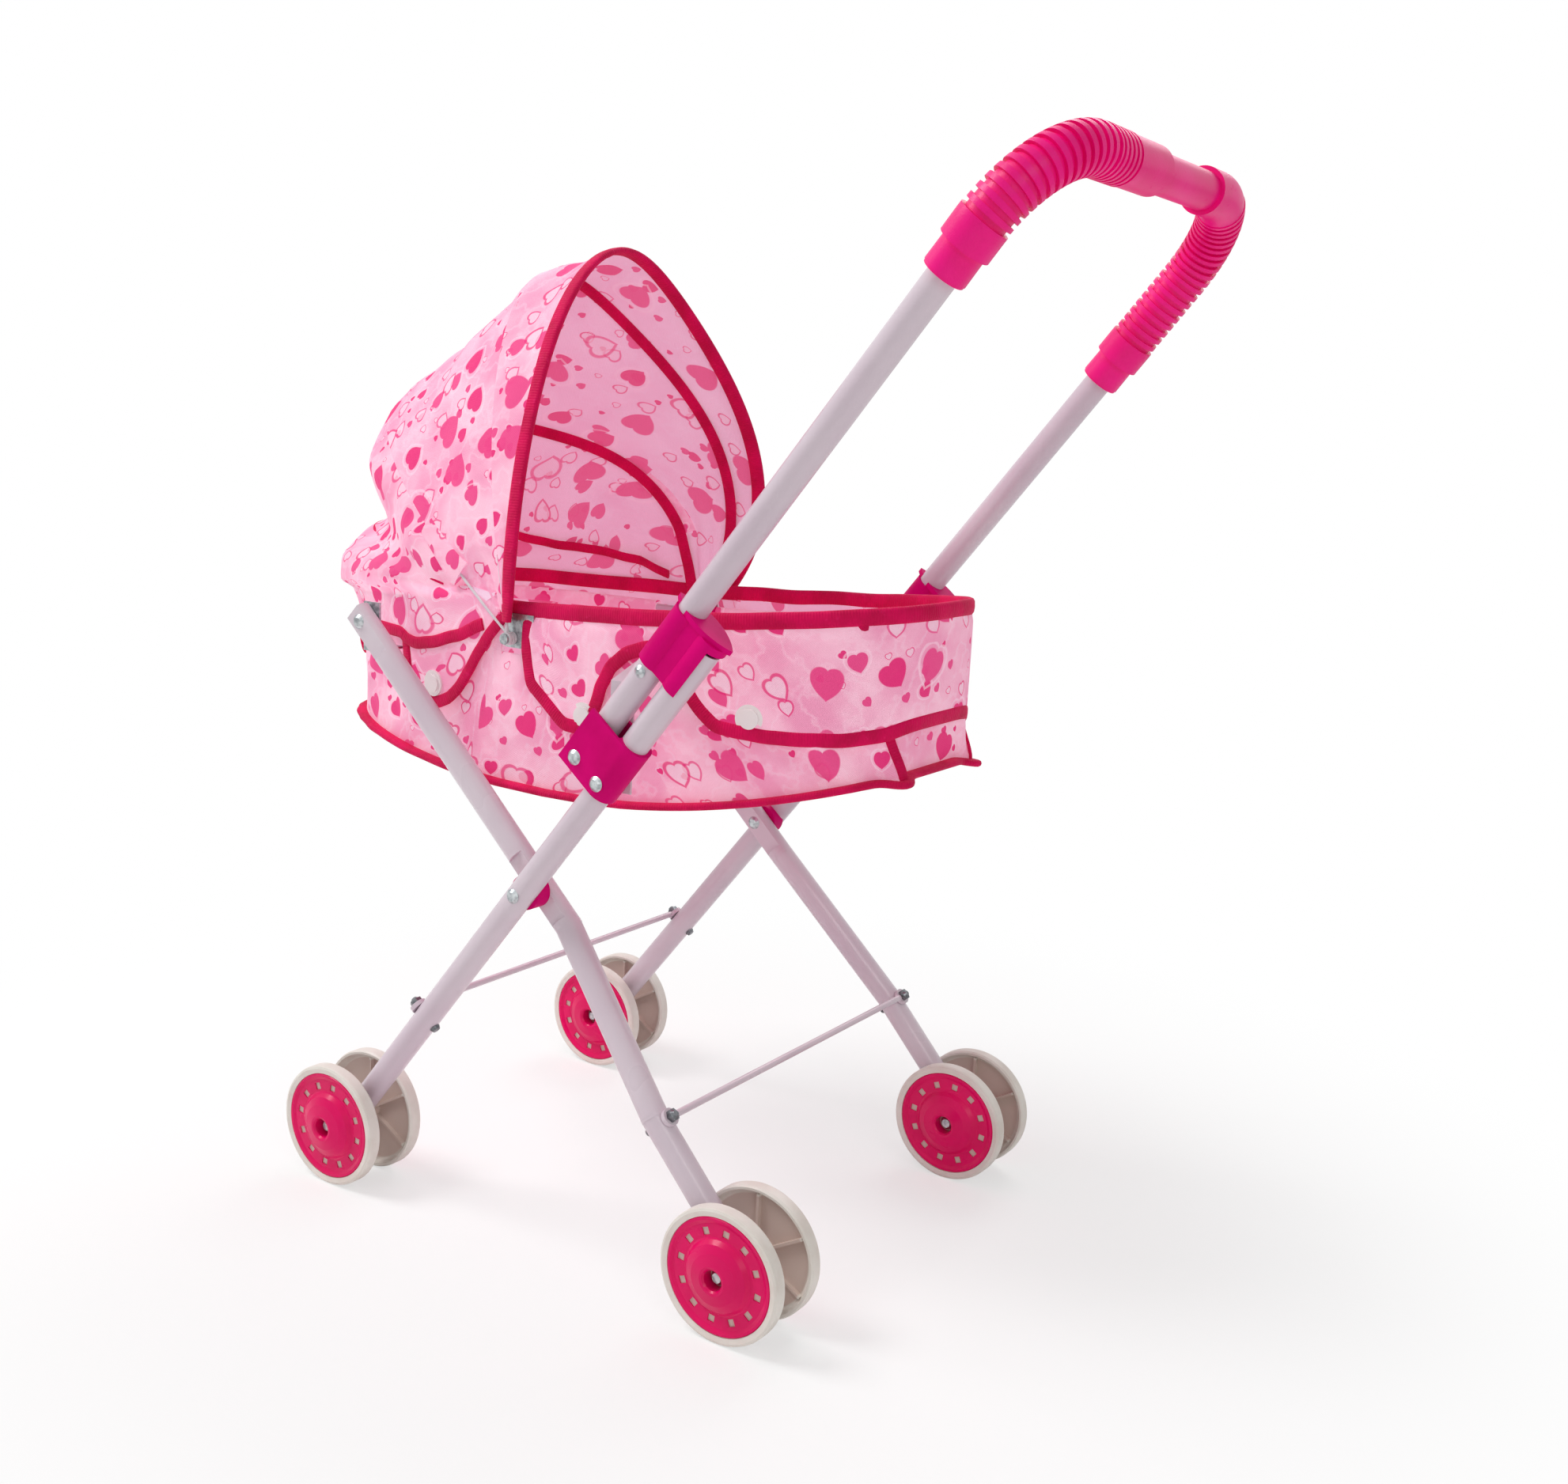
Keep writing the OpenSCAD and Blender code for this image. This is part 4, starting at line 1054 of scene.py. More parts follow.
@dataclass
class Basket:
    """The cloth tub, its bound edges, the outer band with its arches, and the bottom.

    Attributes:
        hinge_x: Place of the canopy's hinge along the stroller.
        notch_half: Half length of the wall's notch round the canopy's clamps.
        notch_at: Middle of that notch, from the hinge.
        notch_z: Height of the wall in the notch.
        band_out: How far the band stands off the wall.
        band_turn: Turn at which the band ends on each side.
        wire_height: Where the rim's wire runs, as a share of the wall's height.
        wire_inset: How far inside the wall it runs.
        band_slack: How far the band's loose part stands out, and plate_lift how far a plate lifts it.
        tape_press: How far the rim's tape presses it in.
        casings: Turns at which the wire's two casings start and end.
        flare_most: How far the bottom's corners at the handle end are drawn out.
        flare_turn: Turn of such a corner, and flare_spread its reach in degrees.
        droop: How far a drawn-out corner hangs, as a share of how far it is drawn.
        seam_turn: Turn of a corner's seam at the bottom, and seam_slant what it gains up to the rim.
        floor_hole: Share of the bottom's rings that is closed by one point.
        tape_step: Length of a tape's steps.
    """

    finishes: Finishes
    shape: BasketShape
    hinge_x: float
    notch_half: float = 0.0140
    notch_at: float = 0.0100
    notch_z: float = 0.3035
    band_out: float = 0.0021
    band_turn: float = 91.3
    wire_height: float = 0.84
    wire_inset: float = 0.0042
    band_slack: float = 0.0012
    plate_lift: float = 0.0016
    tape_press: float = 0.0009
    casings: tuple[tuple[float, float], tuple[float, float]] = ((-91.5, 91.5), (98.5, 261.5))
    flare_most: float = 0.0085
    flare_turn: float = 19.0
    flare_spread: float = 6.0
    droop: float = 0.45
    seam_turn: float = 17.0
    seam_slant: float = 16.0
    piping_out: float = 0.0022
    rim_tape_drop: float = 0.0030
    tape_step: float = 0.0024
    wall_grid: tuple[int, int] = (288, 30)
    floor_grid: tuple[int, int] = (144, 16)
    band_grid: tuple[int, int] = (320, 12)
    wall_thick: float = 0.0012
    floor_thick: float = 0.0014
    band_thick: float = 0.001
    floor_hole: float = 0.02
    floor_sag: float = 0.004
    floor_lift: float = 0.0008
    wall_crumple: Crumple = Crumple(0.034, 0.0028)
    fine_crumple: Crumple = Crumple(0.013, 0.0009)
    floor_crumple: Crumple = Crumple(0.04, 0.0012)
    band_crumple: Crumple = Crumple(0.55, 0.0013)
    rim_crumple: Crumple = Crumple(0.03, 0.0007)
    piping_crumple: Crumple = Crumple(1.0, 0.0009)

    def build(self) -> None:
        """Makes every soft piece of the basket."""
        wall = self.make_wall()
        floor = self.make_floor()
        band = self.make_band()
        bindings = [self.make_rim_binding(), self.make_piping(), *self.make_corner_tapes()]
        casings = [self.make_casing(f"rim_casing_{end}_end", *turns)
                   for end, turns in zip(("handle", "head"), self.casings)]
        band_binding = self.make_band_binding()
        self.finishes.fit(wall, self.finishes.cloth, nodes=["basket_tub"])
        self.finishes.fit(floor, self.finishes.cloth)
        self.finishes.fit(band, self.finishes.cloth, nodes=["basket_band"])
        for casing in casings:
            self.finishes.fit(casing, self.finishes.cloth)
        for tape in [*bindings, band_binding]:
            self.finishes.fit(tape, self.finishes.tape)
        ClothShop.declare_sheet(wall, "hung", ["rim_wire"], bindings)
        ClothShop.declare_sheet(floor, "stretched", ["basket_wall"])
        for casing in casings:
            ClothShop.declare_sheet(casing, "stretched", ["rim_wire"])
        ClothShop.declare_sheet(band, "hung", ["basket_wall"], [band_binding])

    def notch_depth(self, point: Vector) -> float:
        """Height at which the wall ends at a point, inside the clamps' notch or outside it."""
        off = abs(point.x - self.hinge_x - self.notch_at) / self.notch_half
        return self.notch_z + 0.06 * ease(off, 0.94, 1.06)

    def slack(self, turn: float, height: float) -> float:
        """How far the limp wall stands out or falls in, in metres.

        Args:
            turn: Degrees from the handle end.
            height: Share of the wall's height.

        Returns:
            The distance, outwards.
        """
        point = self.shape.wall(turn, height)
        loose = math.sin(math.pi * clamp(height)) ** 0.8
        waves = self.wall_crumple.at(Vector((point.x, point.y, point.z * 0.35)))
        waves += self.fine_crumple.at(point + Vector((0.3, 0.1, 0.7)))
        return waves * loose + sum(crease.at(turn, height) for crease in CREASES)

    def flare(self, turn: float) -> float:
        """How far the bottom's corner at the handle end is drawn out, in metres."""
        return self.flare_most * math.exp(-((abs(turn) - self.flare_turn) / self.flare_spread) ** 2)

    def drawn_wall(self, turn: float, height: float, share: float) -> Vector:
        """A point of the wall with its low corners drawn out and down, share being its run's from below."""
        drawn = self.flare(turn) * ease(1 - share, 0.66, 1.0)
        return self.shape.wall(turn, height, drawn) - Vector((0, 0, self.droop * drawn))

    def make_wall(self) -> bpy.types.Object:
        """The tub's wall, one ring of cloth cut away round the canopy's clamps.

        Returns:
            The wall.
        """
        def place(along: float, across: float) -> Vector:
            """A point of the wall.

            Args:
                along: Share of the way along.
                across: Share of the way across.

            Returns:
                Its place.
            """
            turn = -180 + 360 * along
            top = min(1.0, self.shape.side_height(turn, self.notch_depth(self.shape.wall(turn, 0.95))))
            height = top * across
            out = self.slack(turn, height) * ease(across, 0.0, 0.1) * ease(1 - across, 0.0, 0.1)
            return self.drawn_wall(turn, height, across) + self.shape.wall_normal(turn, height) * out

        return ClothShop.sheet("basket_wall", self.wall_grid, place, self.shape.inside(0.28),
                               self.wall_thick, ring=True)

    def make_floor(self) -> bpy.types.Object:
        """The bottom panel, which sags a little between its piping.

        Returns:
            The bottom panel.
        """
        def place(along: float, across: float) -> Vector:
            """A point of the bottom: rings of the outline's shape round a small hole.

            Args:
                along: Share of the way along.
                across: Share of the way across.

            Returns:
                Its place.
            """
            share = self.floor_hole + (1 - self.floor_hole) * across
            edge = self.shape.floor(-180 + 360 * along, -0.0006)
            u = (edge.x - self.shape.centre_x) * share
            sag = self.floor_sag * (1 - share ** 2)
            z = self.shape.floor_height(u) + self.floor_lift - sag
            point = Vector((self.shape.centre_x + u, edge.y * share, z))
            return point + Vector((0, 0, self.floor_crumple.at(point) * (1 - share ** 4)))

        piece = ClothShop.lay_grid("basket_floor", self.floor_grid, place)
        ClothShop.in_edit_mode(ClothShop.sew, lambda: bpy.ops.mesh.select_all(action="DESELECT"),
                               lambda: bpy.ops.mesh.select_mode(type="EDGE"))
        for edge in piece.data.edges:
            ends = [piece.data.vertices[v].co - self.shape.inside(0) for v in edge.vertices]
            edge.select = all(math.hypot(end.x / self.shape.half_length, end.y / self.shape.half_width)
                              < 1.5 * self.floor_hole for end in ends)
        bpy.ops.object.mode_set(mode="EDIT")
        bpy.ops.mesh.merge(type="CENTER")
        bpy.ops.object.mode_set(mode="OBJECT")
        pattern = piece.data.uv_layers.active.data
        for loop in piece.data.loops:
            pattern[loop.index].uv = piece.data.vertices[loop.vertex_index].co.xy
        ClothShop.face_away(piece, self.shape.inside(0.4))
        ClothShop.thicken(piece, self.floor_thick)
        return piece
    def band_low(self, turn: float) -> float:
        """How far below the rim the band's lower edge hangs, in metres."""
        return follow(BAND_DEPTH, self.shape.rim(turn).x - self.shape.centre_x)

    def band_point(self, turn: float, across: float) -> Vector:
        """A point of the band, which is lifted by the bracket's plate and pressed flat by the rim's tape.

        Args:
            turn: Degrees from the handle end.
            across: 0 at the band's lower edge and 1 under the rim.

        Returns:
            Its place.
        """
        drop = self.band_low(turn)
        below = drop * (1 - across)
        z = self.shape.rim(turn).z - below - 0.001
        height = self.shape.side_height(turn, z)
        loose = (1 - across) * ease(drop, 0.012, 0.05)
        waves = self.band_crumple.at(Vector((turn * 0.02, z * 8, 0.2))) * loose
        waves += self.band_slack * loose
        at_plate = ease(abs(turn), self.band_turn - 4, self.band_turn - 1) * ease(below, 0.006, 0.014)
        under_tape = self.tape_press * (1 - ease(below, 0.005, 0.010))
        lift = max(waves, 0.0) + self.plate_lift * at_plate
        return (self.shape.wall(turn, height, self.band_out - under_tape)
                + self.shape.wall_normal(turn, height) * lift)

    def make_band(self) -> bpy.types.Object:
        """The outer band that hangs from the rim round the handle end, arched over the brackets.

        Returns:
            The band.
        """
        def place(along: float, across: float) -> Vector:
            """A point of the band."""
            return self.band_point(self.band_turn * (2 * along - 1), across)

        return ClothShop.sheet("basket_band_cloth", self.band_grid, place, self.shape.inside(0.28),
                               self.band_thick)

    def make_band_binding(self) -> bpy.types.Object:
        """Tape along the band's lower edge and up its two ends.

        Returns:
            The tape.
        """
        end = self.band_turn
        points = [self.band_point(-end, 1 - k / 4) for k in range(4)]
        points += [self.band_point(turn, 0.0) for turn in spread(-end, end, self.band_grid[0])]
        points += [self.band_point(end, (k + 1) / 4) for k in range(4)]
        points = self.even(points, self.tape_step)
        normals = [self.out_of(p) for p in points]
        points = [p - n * 0.0004 for p, n in zip(points, normals)]
        return ClothShop.tape("band_binding", points, normals, TapeSize.BAND_BINDING)

    def out_of(self, point: Vector) -> Vector:
        """Outward direction of the wall near a point.

        Args:
            point: A point on the cloth or close to it.

        Returns:
            The direction.
        """
        u = clamp((point.x - self.shape.centre_x) / self.shape.half_length, -1, 1)
        turn = math.degrees(math.acos(signed_power(u, 1 / self.shape.rim_corner)))
        turn = math.copysign(turn, point.y)
        return self.shape.wall_normal(turn, clamp(self.shape.side_height(turn, point.z), 0.05, 0.98))

    @staticmethod
    def even(points: Sequence[Vector], step: float) -> list[Vector]:
        """Spaces points evenly along their line.

        Args:
            points: The line.
            step: The spacing wanted.

        Returns:
            Points of the same line, a step apart, lightly smoothed.
        """
        marks = [0.0]
        for a, b in zip(points, points[1:]):
            marks.append(marks[-1] + (b - a).length)
        count = max(2, round(marks[-1] / step))
        spaced, i = [], 0
        for k in range(count + 1):
            at = marks[-1] * k / count
            while i < len(points) - 2 and marks[i + 1] < at:
                i += 1
            share = clamp((at - marks[i]) / max(marks[i + 1] - marks[i], 1e-9))
            spaced.append(points[i].lerp(points[i + 1], share))
        smooth = list(spaced)
        for k in range(1, count):
            smooth[k] = (spaced[k - 1] + spaced[k] * 2 + spaced[k + 1]) / 4
        return smooth

    def make_rim_binding(self) -> bpy.types.Object:
        """Tape folded over the rim all round; it bridges the windows at the clamps.

        Returns:
            The tape.
        """
        def lie(turn: float) -> Vector:
            """Where the tape's middle lies.

            Args:
                turn: Degrees from the handle end, positive to the right.

            Returns:
                Its place.
            """
            edge = self.shape.rim(turn)
            out = 0.0008 * ease(edge.x - self.hinge_x, 0.0, 0.03) - 0.0004
            return self.shape.rim(turn, out) + Vector((0, 0, self.rim_crumple.at(edge) - self.rim_tape_drop))

        turns = once_round(360)
        return ClothShop.tape("rim_binding", [lie(turn) for turn in turns],
                              [self.shape.wall_normal(turn, 0.97) for turn in turns],
                              TapeSize.RIM_BINDING, ring=True)

    def make_casing(self, name: str, start: float, end: float) -> bpy.types.Object:
        """The cloth tunnel inside the tub that hides the rim's wire, between the canopy's clamps.

        Args:
            name: Name of the piece.
            start: Turn at which it starts.
            end: Turn at which it ends.

        Returns:
            The casing.
        """
        turns = spread(start, end, 200)
        points = [self.shape.wall(turn, self.wire_height, -self.wire_inset) for turn in turns]
        normals = [self.shape.wall_normal(turn, self.wire_height) for turn in turns]
        return ClothShop.tape(name, points, normals, TapeSize.RIM_CASING)

    def make_piping(self) -> bpy.types.Object:
        """Piping round the bottom, which stands out in a point at the handle end's corners.

        Returns:
            The piping.
        """
        points = []
        for turn in once_round(300):
            out = self.piping_out + self.flare(turn) + self.piping_crumple.at(Vector((turn / 8, 0, 0)))
            lift = 0.0004 - self.droop * self.flare(turn)
            points.append(self.shape.floor(turn, out) + Vector((0, 0, lift)))
        points = [(before + point * 2 + after) / 4 for before, point, after
                  in zip(points[-1:] + points[:-1], points, points[1:] + points[:1])]
        normals = [Vector((0, 0, 1))] * len(points)
        return ClothShop.tape("basket_piping", points, normals, TapeSize.PIPING, ring=True)

    def make_corner_tapes(self) -> list[bpy.types.Object]:
        """Tapes down the seams between the side walls and the handle end's panel.

        Returns:
            The two tapes.
        """
        tapes = []
        for side in Side:
            seam = [(side.value * (self.seam_turn + self.seam_slant * height), height)
                    for height in spread(0.03, 0.95, 29)]
            normals = [self.shape.wall_normal(turn, height) for turn, height in seam]
            points = [self.drawn_wall(turn, height, height) + normal * (0.0003 + self.slack(turn, height))
                      for (turn, height), normal in zip(seam, normals)]
            name = f"corner_tape_{side.word}"
            tapes.append(ClothShop.tape(name, points, normals, TapeSize.CORNER))
        return tapes


# ---- Canopy --------------------------------------------------------------------------------

# Distance of the canopy's cloth from its hinge, over the middle of the stroller, by the angle
CANOPY_REACH = (
    (90, 0.2042), (97, 0.1995), (104, 0.1985), (109, 0.1905), (116, 0.1850), (123.5, 0.1832),
    (131, 0.1858), (138, 0.1908), (143, 0.1953), (148, 0.1952), (151, 0.1945), (155, 0.1840),
    (159, 0.1710), (163, 0.1735), (168, 0.1880), (172, 0.1955), (177, 0.2000), (184, 0.2000))


@dataclass
class CanopyShape:
    """The surface that the canopy's cloth follows, in angles about its hinge.

    Attributes:
        front_edge: Angle of the open edge's hoop, 90 being straight up.
        middle_hoop: Angle of the middle hoop.
        head_hoop: Angle of the hoop nearest the head end.
        hood_fold: Angle at which the hood leaves its arch for the tub.
        edge_half_width: Half of the canopy's width at its open edge.
        width_loss: How much of that each later hoop loses.
        lean_most: How far the hoops' right feet lean towards the handle, in degrees.
        lean_spread: Degrees across over which the lean dies out.
        foot_tuck: How far the cloth is drawn in above its feet.
    """

    hinge: Vector
    front_edge: float = 90.0
    middle_hoop: float = 104.0
    head_hoop: float = 143.0
    hood_fold: float = 160.0
    edge_half_width: float = 0.0880
    width_loss: float = 0.0019
    lean_most: float = 46.0
    lean_spread: float = 37.0
    foot_tuck: float = 0.0034

    def half_width(self, angle: float) -> float:
        """Half of the canopy's width at an angle.

        Args:
            angle: Degrees about the hinge.

        Returns:
            Half of the width there.
        """
        hoops = (self.front_edge, self.middle_hoop, self.head_hoop, self.hood_fold)
        return follow([(hoop, self.edge_half_width - k * self.width_loss) for k, hoop in enumerate(hoops)],
                      angle)

    def lean(self, turn: float) -> float:
        """How far the sprung hoops lean towards the handle, in degrees."""
        return self.lean_most * math.exp(-((180 - turn) / self.lean_spread) ** 2)

    def point(self, angle: float, turn: float, lift: float = 0.0, leaning: float = 1.0) -> Vector:
        """A point of the cloth.

        Args:
            angle: Degrees about the hinge, 90 straight up and 180 towards the head end.
            turn: Degrees across, 0 at the left foot and 180 at the right one.
            lift: How far to stand out from the surface.
            leaning: Share of the hoops' lean that the cloth has here.

        Returns:
            Its place.
        """
        reach = (follow(CANOPY_REACH, angle) + lift) * math.sin(math.radians(turn))
        tuck = self.foot_tuck * (1 - ease(reach, 0.036, 0.058)) * ease(angle, 96, 125)
        width = self.half_width(angle) + lift - tuck
        placed = math.radians(angle - self.lean(turn) * leaning)
        return self.hinge + Vector((reach * math.cos(placed), -width * math.cos(math.radians(turn)),
                                    reach * math.sin(placed)))

    def normal(self, angle: float, turn: float) -> Vector:
        """Outward normal of the cloth.

        Args:
            angle: Degrees about the hinge.
            turn: Degrees across, 0 at the left foot.

        Returns:
            The normal.
        """
        along = self.point(angle, min(turn + 1, 179.5)) - self.point(angle, max(turn - 1, 0.5))
        across = self.point(angle + 1, turn) - self.point(angle - 1, turn)
        normal = across.cross(along).normalized()
        return normal if normal.dot(self.point(angle, turn) - self.hinge) > 0 else -normal


# How high up the tub's wall the hood's lower edge hangs, by the degrees from its middle
HOOD_EDGE = (
    (0, 0.42), (15, 0.42), (19, 0.5), (22, 0.70), (60, 0.715), (62, 0.69), (63.3, 0.60), (65, 0.50),
    (67, 0.42), (69.5, 0.355), (72, 0.335), (75, 0.35), (77, 0.39), (78.4, 0.46), (79.2, 0.56),
    (80, 0.70), (81, 0.82), (82.2, 0.92))

# How high up the wall the seam of a side flap runs, by the same degrees
FLAP_SEAM = ((61.5, 0.69), (66, 0.672), (70, 0.70), (75.5, 0.77), (79.5, 0.86))


@dataclass
class Canopy:
    """Hoops' cloth panels, the fixed hood with its flaps, tapes and sleeves.

    Attributes:
        hood_turn: Degrees from the hood's middle to its edge.
        hood_gap: Distance of the hood from the tub's wall, and hood_swell what it gains at the rim.
        rim_share: Height on the wall at which the hood's middle comes over the rim.
        low_seam: Share of the hood's run at which its inner seam lies.
        arch_steps: Steps of the hood's run from the head hoop to the rim.
        drop_steps: Steps of its run down the tub.
        blend_radius: Distance from the hinge that bend_between reads; it has no effect on the result.
        pucker_most: Largest rise of a panel's puckers, of which fan_rise is the part that radiates.
        hoop_depth: How far inside the cloth the hoops' tapes lie.
        sleeve_turn: Degrees from a hoop's foot to its sleeve, which is sleeve_length degrees long.
        sleeve_flare: How much wider the sleeve's open end is, and sleeve_ruffle how uneven.
    """

    finishes: Finishes
    shape: CanopyShape
    basket: BasketShape
    hood_turn: float = 82.2
    hood_gap: float = 0.0026
    hood_swell: float = 0.006
    rim_share: float = 0.88
    low_seam: float = 0.42
    arch_steps: int = 12
    drop_steps: int = 7
    blend_radius: float = 0.1
    pucker_most: float = 0.0018
    fan_rise: float = 0.0016
    hoop_depth: float = 0.0018
    sleeve_turn: float = 14.5
    sleeve_length: float = 12.0
    sleeve_flare: float = 0.35
    sleeve_ruffle: float = 0.12
    sleeve_half: tuple[float, float] = (0.0060, 0.0018)
    tape_step: float = 0.0024
    front_grid: tuple[int, int] = (120, 12)
    middle_grid: tuple[int, int] = (120, 28)
    hood_grid: tuple[int, int] = (220, 60)
    sleeve_grid: tuple[int, int] = (18, 20)
    panel_thick: float = 0.0008
    hood_thick: float = 0.0009
    panel_crumple: Crumple = Crumple(0.05, 0.0042)
    fine_crumple: Crumple = Crumple(0.018, 0.0012)
    hood_crumple: Crumple = Crumple(0.042, 0.0075)
    hood_fine_crumple: Crumple = Crumple(0.017, 0.0026)

    def build(self) -> None:
        """Makes every soft piece of the canopy."""
        open_edge, middle_hoop, head_hoop = (
            self.shape.front_edge, self.shape.middle_hoop, self.shape.head_hoop)
        front = self.make_panel("canopy_front_panel", self.front_grid, (open_edge, middle_hoop), 5.0,
                                "canopy_panel_rear")
        middle = self.make_panel("canopy_middle_panel", self.middle_grid, (middle_hoop, head_hoop), 4.5,
                                 "canopy_panel_middle")
        hood = self.make_hood()
        edge = self.make_edge_binding()
        inner = [self.make_inner_tape("canopy_middle_tape", middle_hoop, "canopy_middle", 4.0),
                 self.make_inner_tape("canopy_head_tape", head_hoop, "canopy_front", 16.0)]
        low = self.make_low_tape()
        hem = self.make_hood_binding()
        seams = [self.make_flap_seam(side) for side in Side]
        sleeves = [self.make_sleeve(side) for side in Side]
        ClothShop.declare_sheet(front, "stretched", ["canopy_hoop_rear", "canopy_hoop_middle"], [edge])
        ClothShop.declare_sheet(middle, "stretched", ["canopy_hoop_middle", "canopy_hoop_front"], inner)
        ClothShop.declare_sheet(hood, "stretched", ["canopy_hoop_front", "basket_wall"], [low, hem, *seams])
        for sleeve in sleeves:
            ClothShop.declare_sheet(sleeve, "stretched", ["canopy_hoop_front"])

    def sew_tape(self, name: str, points: Sequence[Vector], normals: Sequence[Vector], size: TapeSize,
                 body: str = "frame") -> bpy.types.Object:
        """Makes a tape that rides on a body.

        Args:
            name: Name of the piece.
            points: The tape's middle line.
            normals: The cloth's normal at each of those points.
            size: Its width and thickness.
            body: The body.

        Returns:
            The tape.
        """
        piece = ClothShop.tape(name, points, normals, size)
        self.finishes.fit(piece, self.finishes.tape, body)
        return piece

    def gather(self, angle: float, turn: float, ends: tuple[float, float]) -> float:
        """Puckers of a panel that radiate from its feet and die out at the hoops.

        Args:
            angle: Degrees about the hinge.
            turn: Degrees across.
            ends: Angles of the panel's two hoops.

        Returns:
            Their rise.
        """
        free = math.sin(math.pi * clamp((angle - ends[0]) / (ends[1] - ends[0])))
        low = math.sin(math.radians(turn))
        fan = math.sin(math.radians(angle * 26 + turn * 1.3)) * math.exp(-low * 2.6) * self.fan_rise
        point = self.shape.point(angle, turn)
        soft = self.panel_crumple.at(point) + self.fine_crumple.at(point + Vector((1, 2, 3)))
        return min(free * (fan + soft), self.pucker_most)

    def make_panel(self, name: str, grid: tuple[int, int], ends: tuple[float, float], low: float,
                   node: str) -> bpy.types.Object:
        """A panel between two hoops.

        Args:
            name: Name of the piece.
            grid: Steps along it and across it.
            ends: Angles of the hoop nearer the handle and of the other one.
            low: Turn at which the panel ends above its feet.
            node: The node that it stands for.

        Returns:
            The panel.
        """
        def place(along: float, across: float) -> Vector:
            """A point of the panel.

            Args:
                along: Share of the way along.
                across: Share of the way across.

            Returns:
                Its place.
            """
            turn = low + (180 - 2 * low) * along
            angle = ends[0] + (ends[1] - ends[0]) * across
            return self.shape.point(angle, turn, self.gather(angle, turn, ends))

        piece = ClothShop.sheet(name, grid, place, self.shape.hinge, self.panel_thick)
        self.finishes.fit(piece, self.finishes.cloth, None, [node])
        self.bend_between(piece, ends[1], ends[0])
        return piece

    def bend_between(self, piece: bpy.types.Object, first: float,
                     last: float) -> None:
        """Bakes the piece's place into its mesh; no bend between the hoops' angles is set up.

        Args:
            piece: The cloth.
            first: Angle of one hoop; its value has no effect.
            last: Angle of the other hoop; its value has no effect.
        """
        middle = math.radians((first + last) / 2)
        half = self.blend_radius * math.sin(math.radians(abs(first - last) / 2))
        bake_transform(piece)

    def hood_top(self, off: float) -> float:
        """How high up the tub's wall the hood comes over the rim, at off degrees from its middle."""
        return self.rim_share + (1 - self.rim_share) * math.sin(math.radians(off)) ** 2

    def hood_line(self, off: float) -> list[Vector]:
        """The hood's run from the head hoop over the rim and down outside the tub.

        Args:
            off: Degrees from the hood's middle, positive to the right.

        Returns:
            Points of the run.
        """
        wide = math.sin(math.radians(off)) ** 2
        low = 0.008 + 0.017 * wide
        reach = follow(CANOPY_REACH, 177) * math.cos(math.radians(off))
        last = 180 - math.degrees(math.asin(clamp(low / max(reach, low * 1.02), 0, 1)))
        arch = zip(spread(self.shape.head_hoop, last, self.arch_steps), spread(1, 0, self.arch_steps))
        points = [self.shape.point(angle, 90 + off, leaning=left ** 1.5) for angle, left in arch]
        around = (180 - 1.04 * off + 180) % 360 - 180
        drop = zip(spread(self.hood_top(off), follow(HOOD_EDGE, abs(off)), self.drop_steps),
                   spread(1, 0, self.drop_steps))
        swell = self.hood_swell * (1 - wide)
        return points + [self.basket.wall(around, height, self.hood_gap + swell * left ** 2)
                         for height, left in drop]

    def hood_spot(self, off: float, share: float) -> Vector:
        """A point of the hood at a share of its run, on a smooth curve through the run's points.

        Args:
            off: Degrees from the hood's middle, positive to the right.
            share: Share of the run from the head hoop down.

        Returns:
            Its place.
        """
        line = self.hood_line(off)
        at = share * (len(line) - 1)
        i = min(int(at), len(line) - 2)
        f = at - i
        a, b, c, d = (line[int(clamp(i + k, 0, len(line) - 1))] for k in (-1, 0, 1, 2))
        return (b * 2 + (c - a) * f + (a * 2 - b * 5 + c * 4 - d) * f * f
                + (b * 3 - a - c * 3 + d) * f ** 3) / 2

    def hood_away(self, point: Vector) -> Vector:
        """Direction from the middle of the hood's hollow to a point."""
        return (point - self.basket.inside(0.3, -0.07)).normalized()

    def hood_place(self, along: float, share: float) -> Vector:
        """A point of the hood with its slack.

        Args:
            along: Share of the way from left to right.
            share: Share of the run from the head hoop down.

        Returns:
            Its place.
        """
        point = self.hood_spot(-self.hood_turn + 2 * self.hood_turn * along, share)
        free = ease(share, 0.02, 0.2) * ease(1 - share, 0.34, 0.5)
        slack = self.hood_crumple.at(point) + self.hood_fine_crumple.at(point + Vector((5, 1, 2)))
        return point + self.hood_away(point) * slack * free

    def make_hood(self) -> bpy.types.Object:
        """The slack hood between the head hoop and the tub, with flaps that button to the tub.

        Returns:
            The hood.
        """
        piece = ClothShop.sheet("canopy_hood_cloth", self.hood_grid, self.hood_place,
                                self.basket.inside(0.3, -0.07), self.hood_thick)
        self.finishes.fit(piece, self.finishes.cloth, None, ["canopy_hood"])
        self.bend_between(piece, self.shape.hood_fold, self.shape.head_hoop)
        return piece

    def tub_away(self, point: Vector) -> Vector:
        """Level direction away from the tub, at its end or at its sides.

        Args:
            point: A point on the cloth or close to it.

        Returns:
            The direction.
        """
        if abs(point.y) > 0.05:
            return Vector((point.x - self.basket.centre_x, point.y * 6, 0)).normalized()
        return Vector((-1, point.y * 12, 0)).normalized()

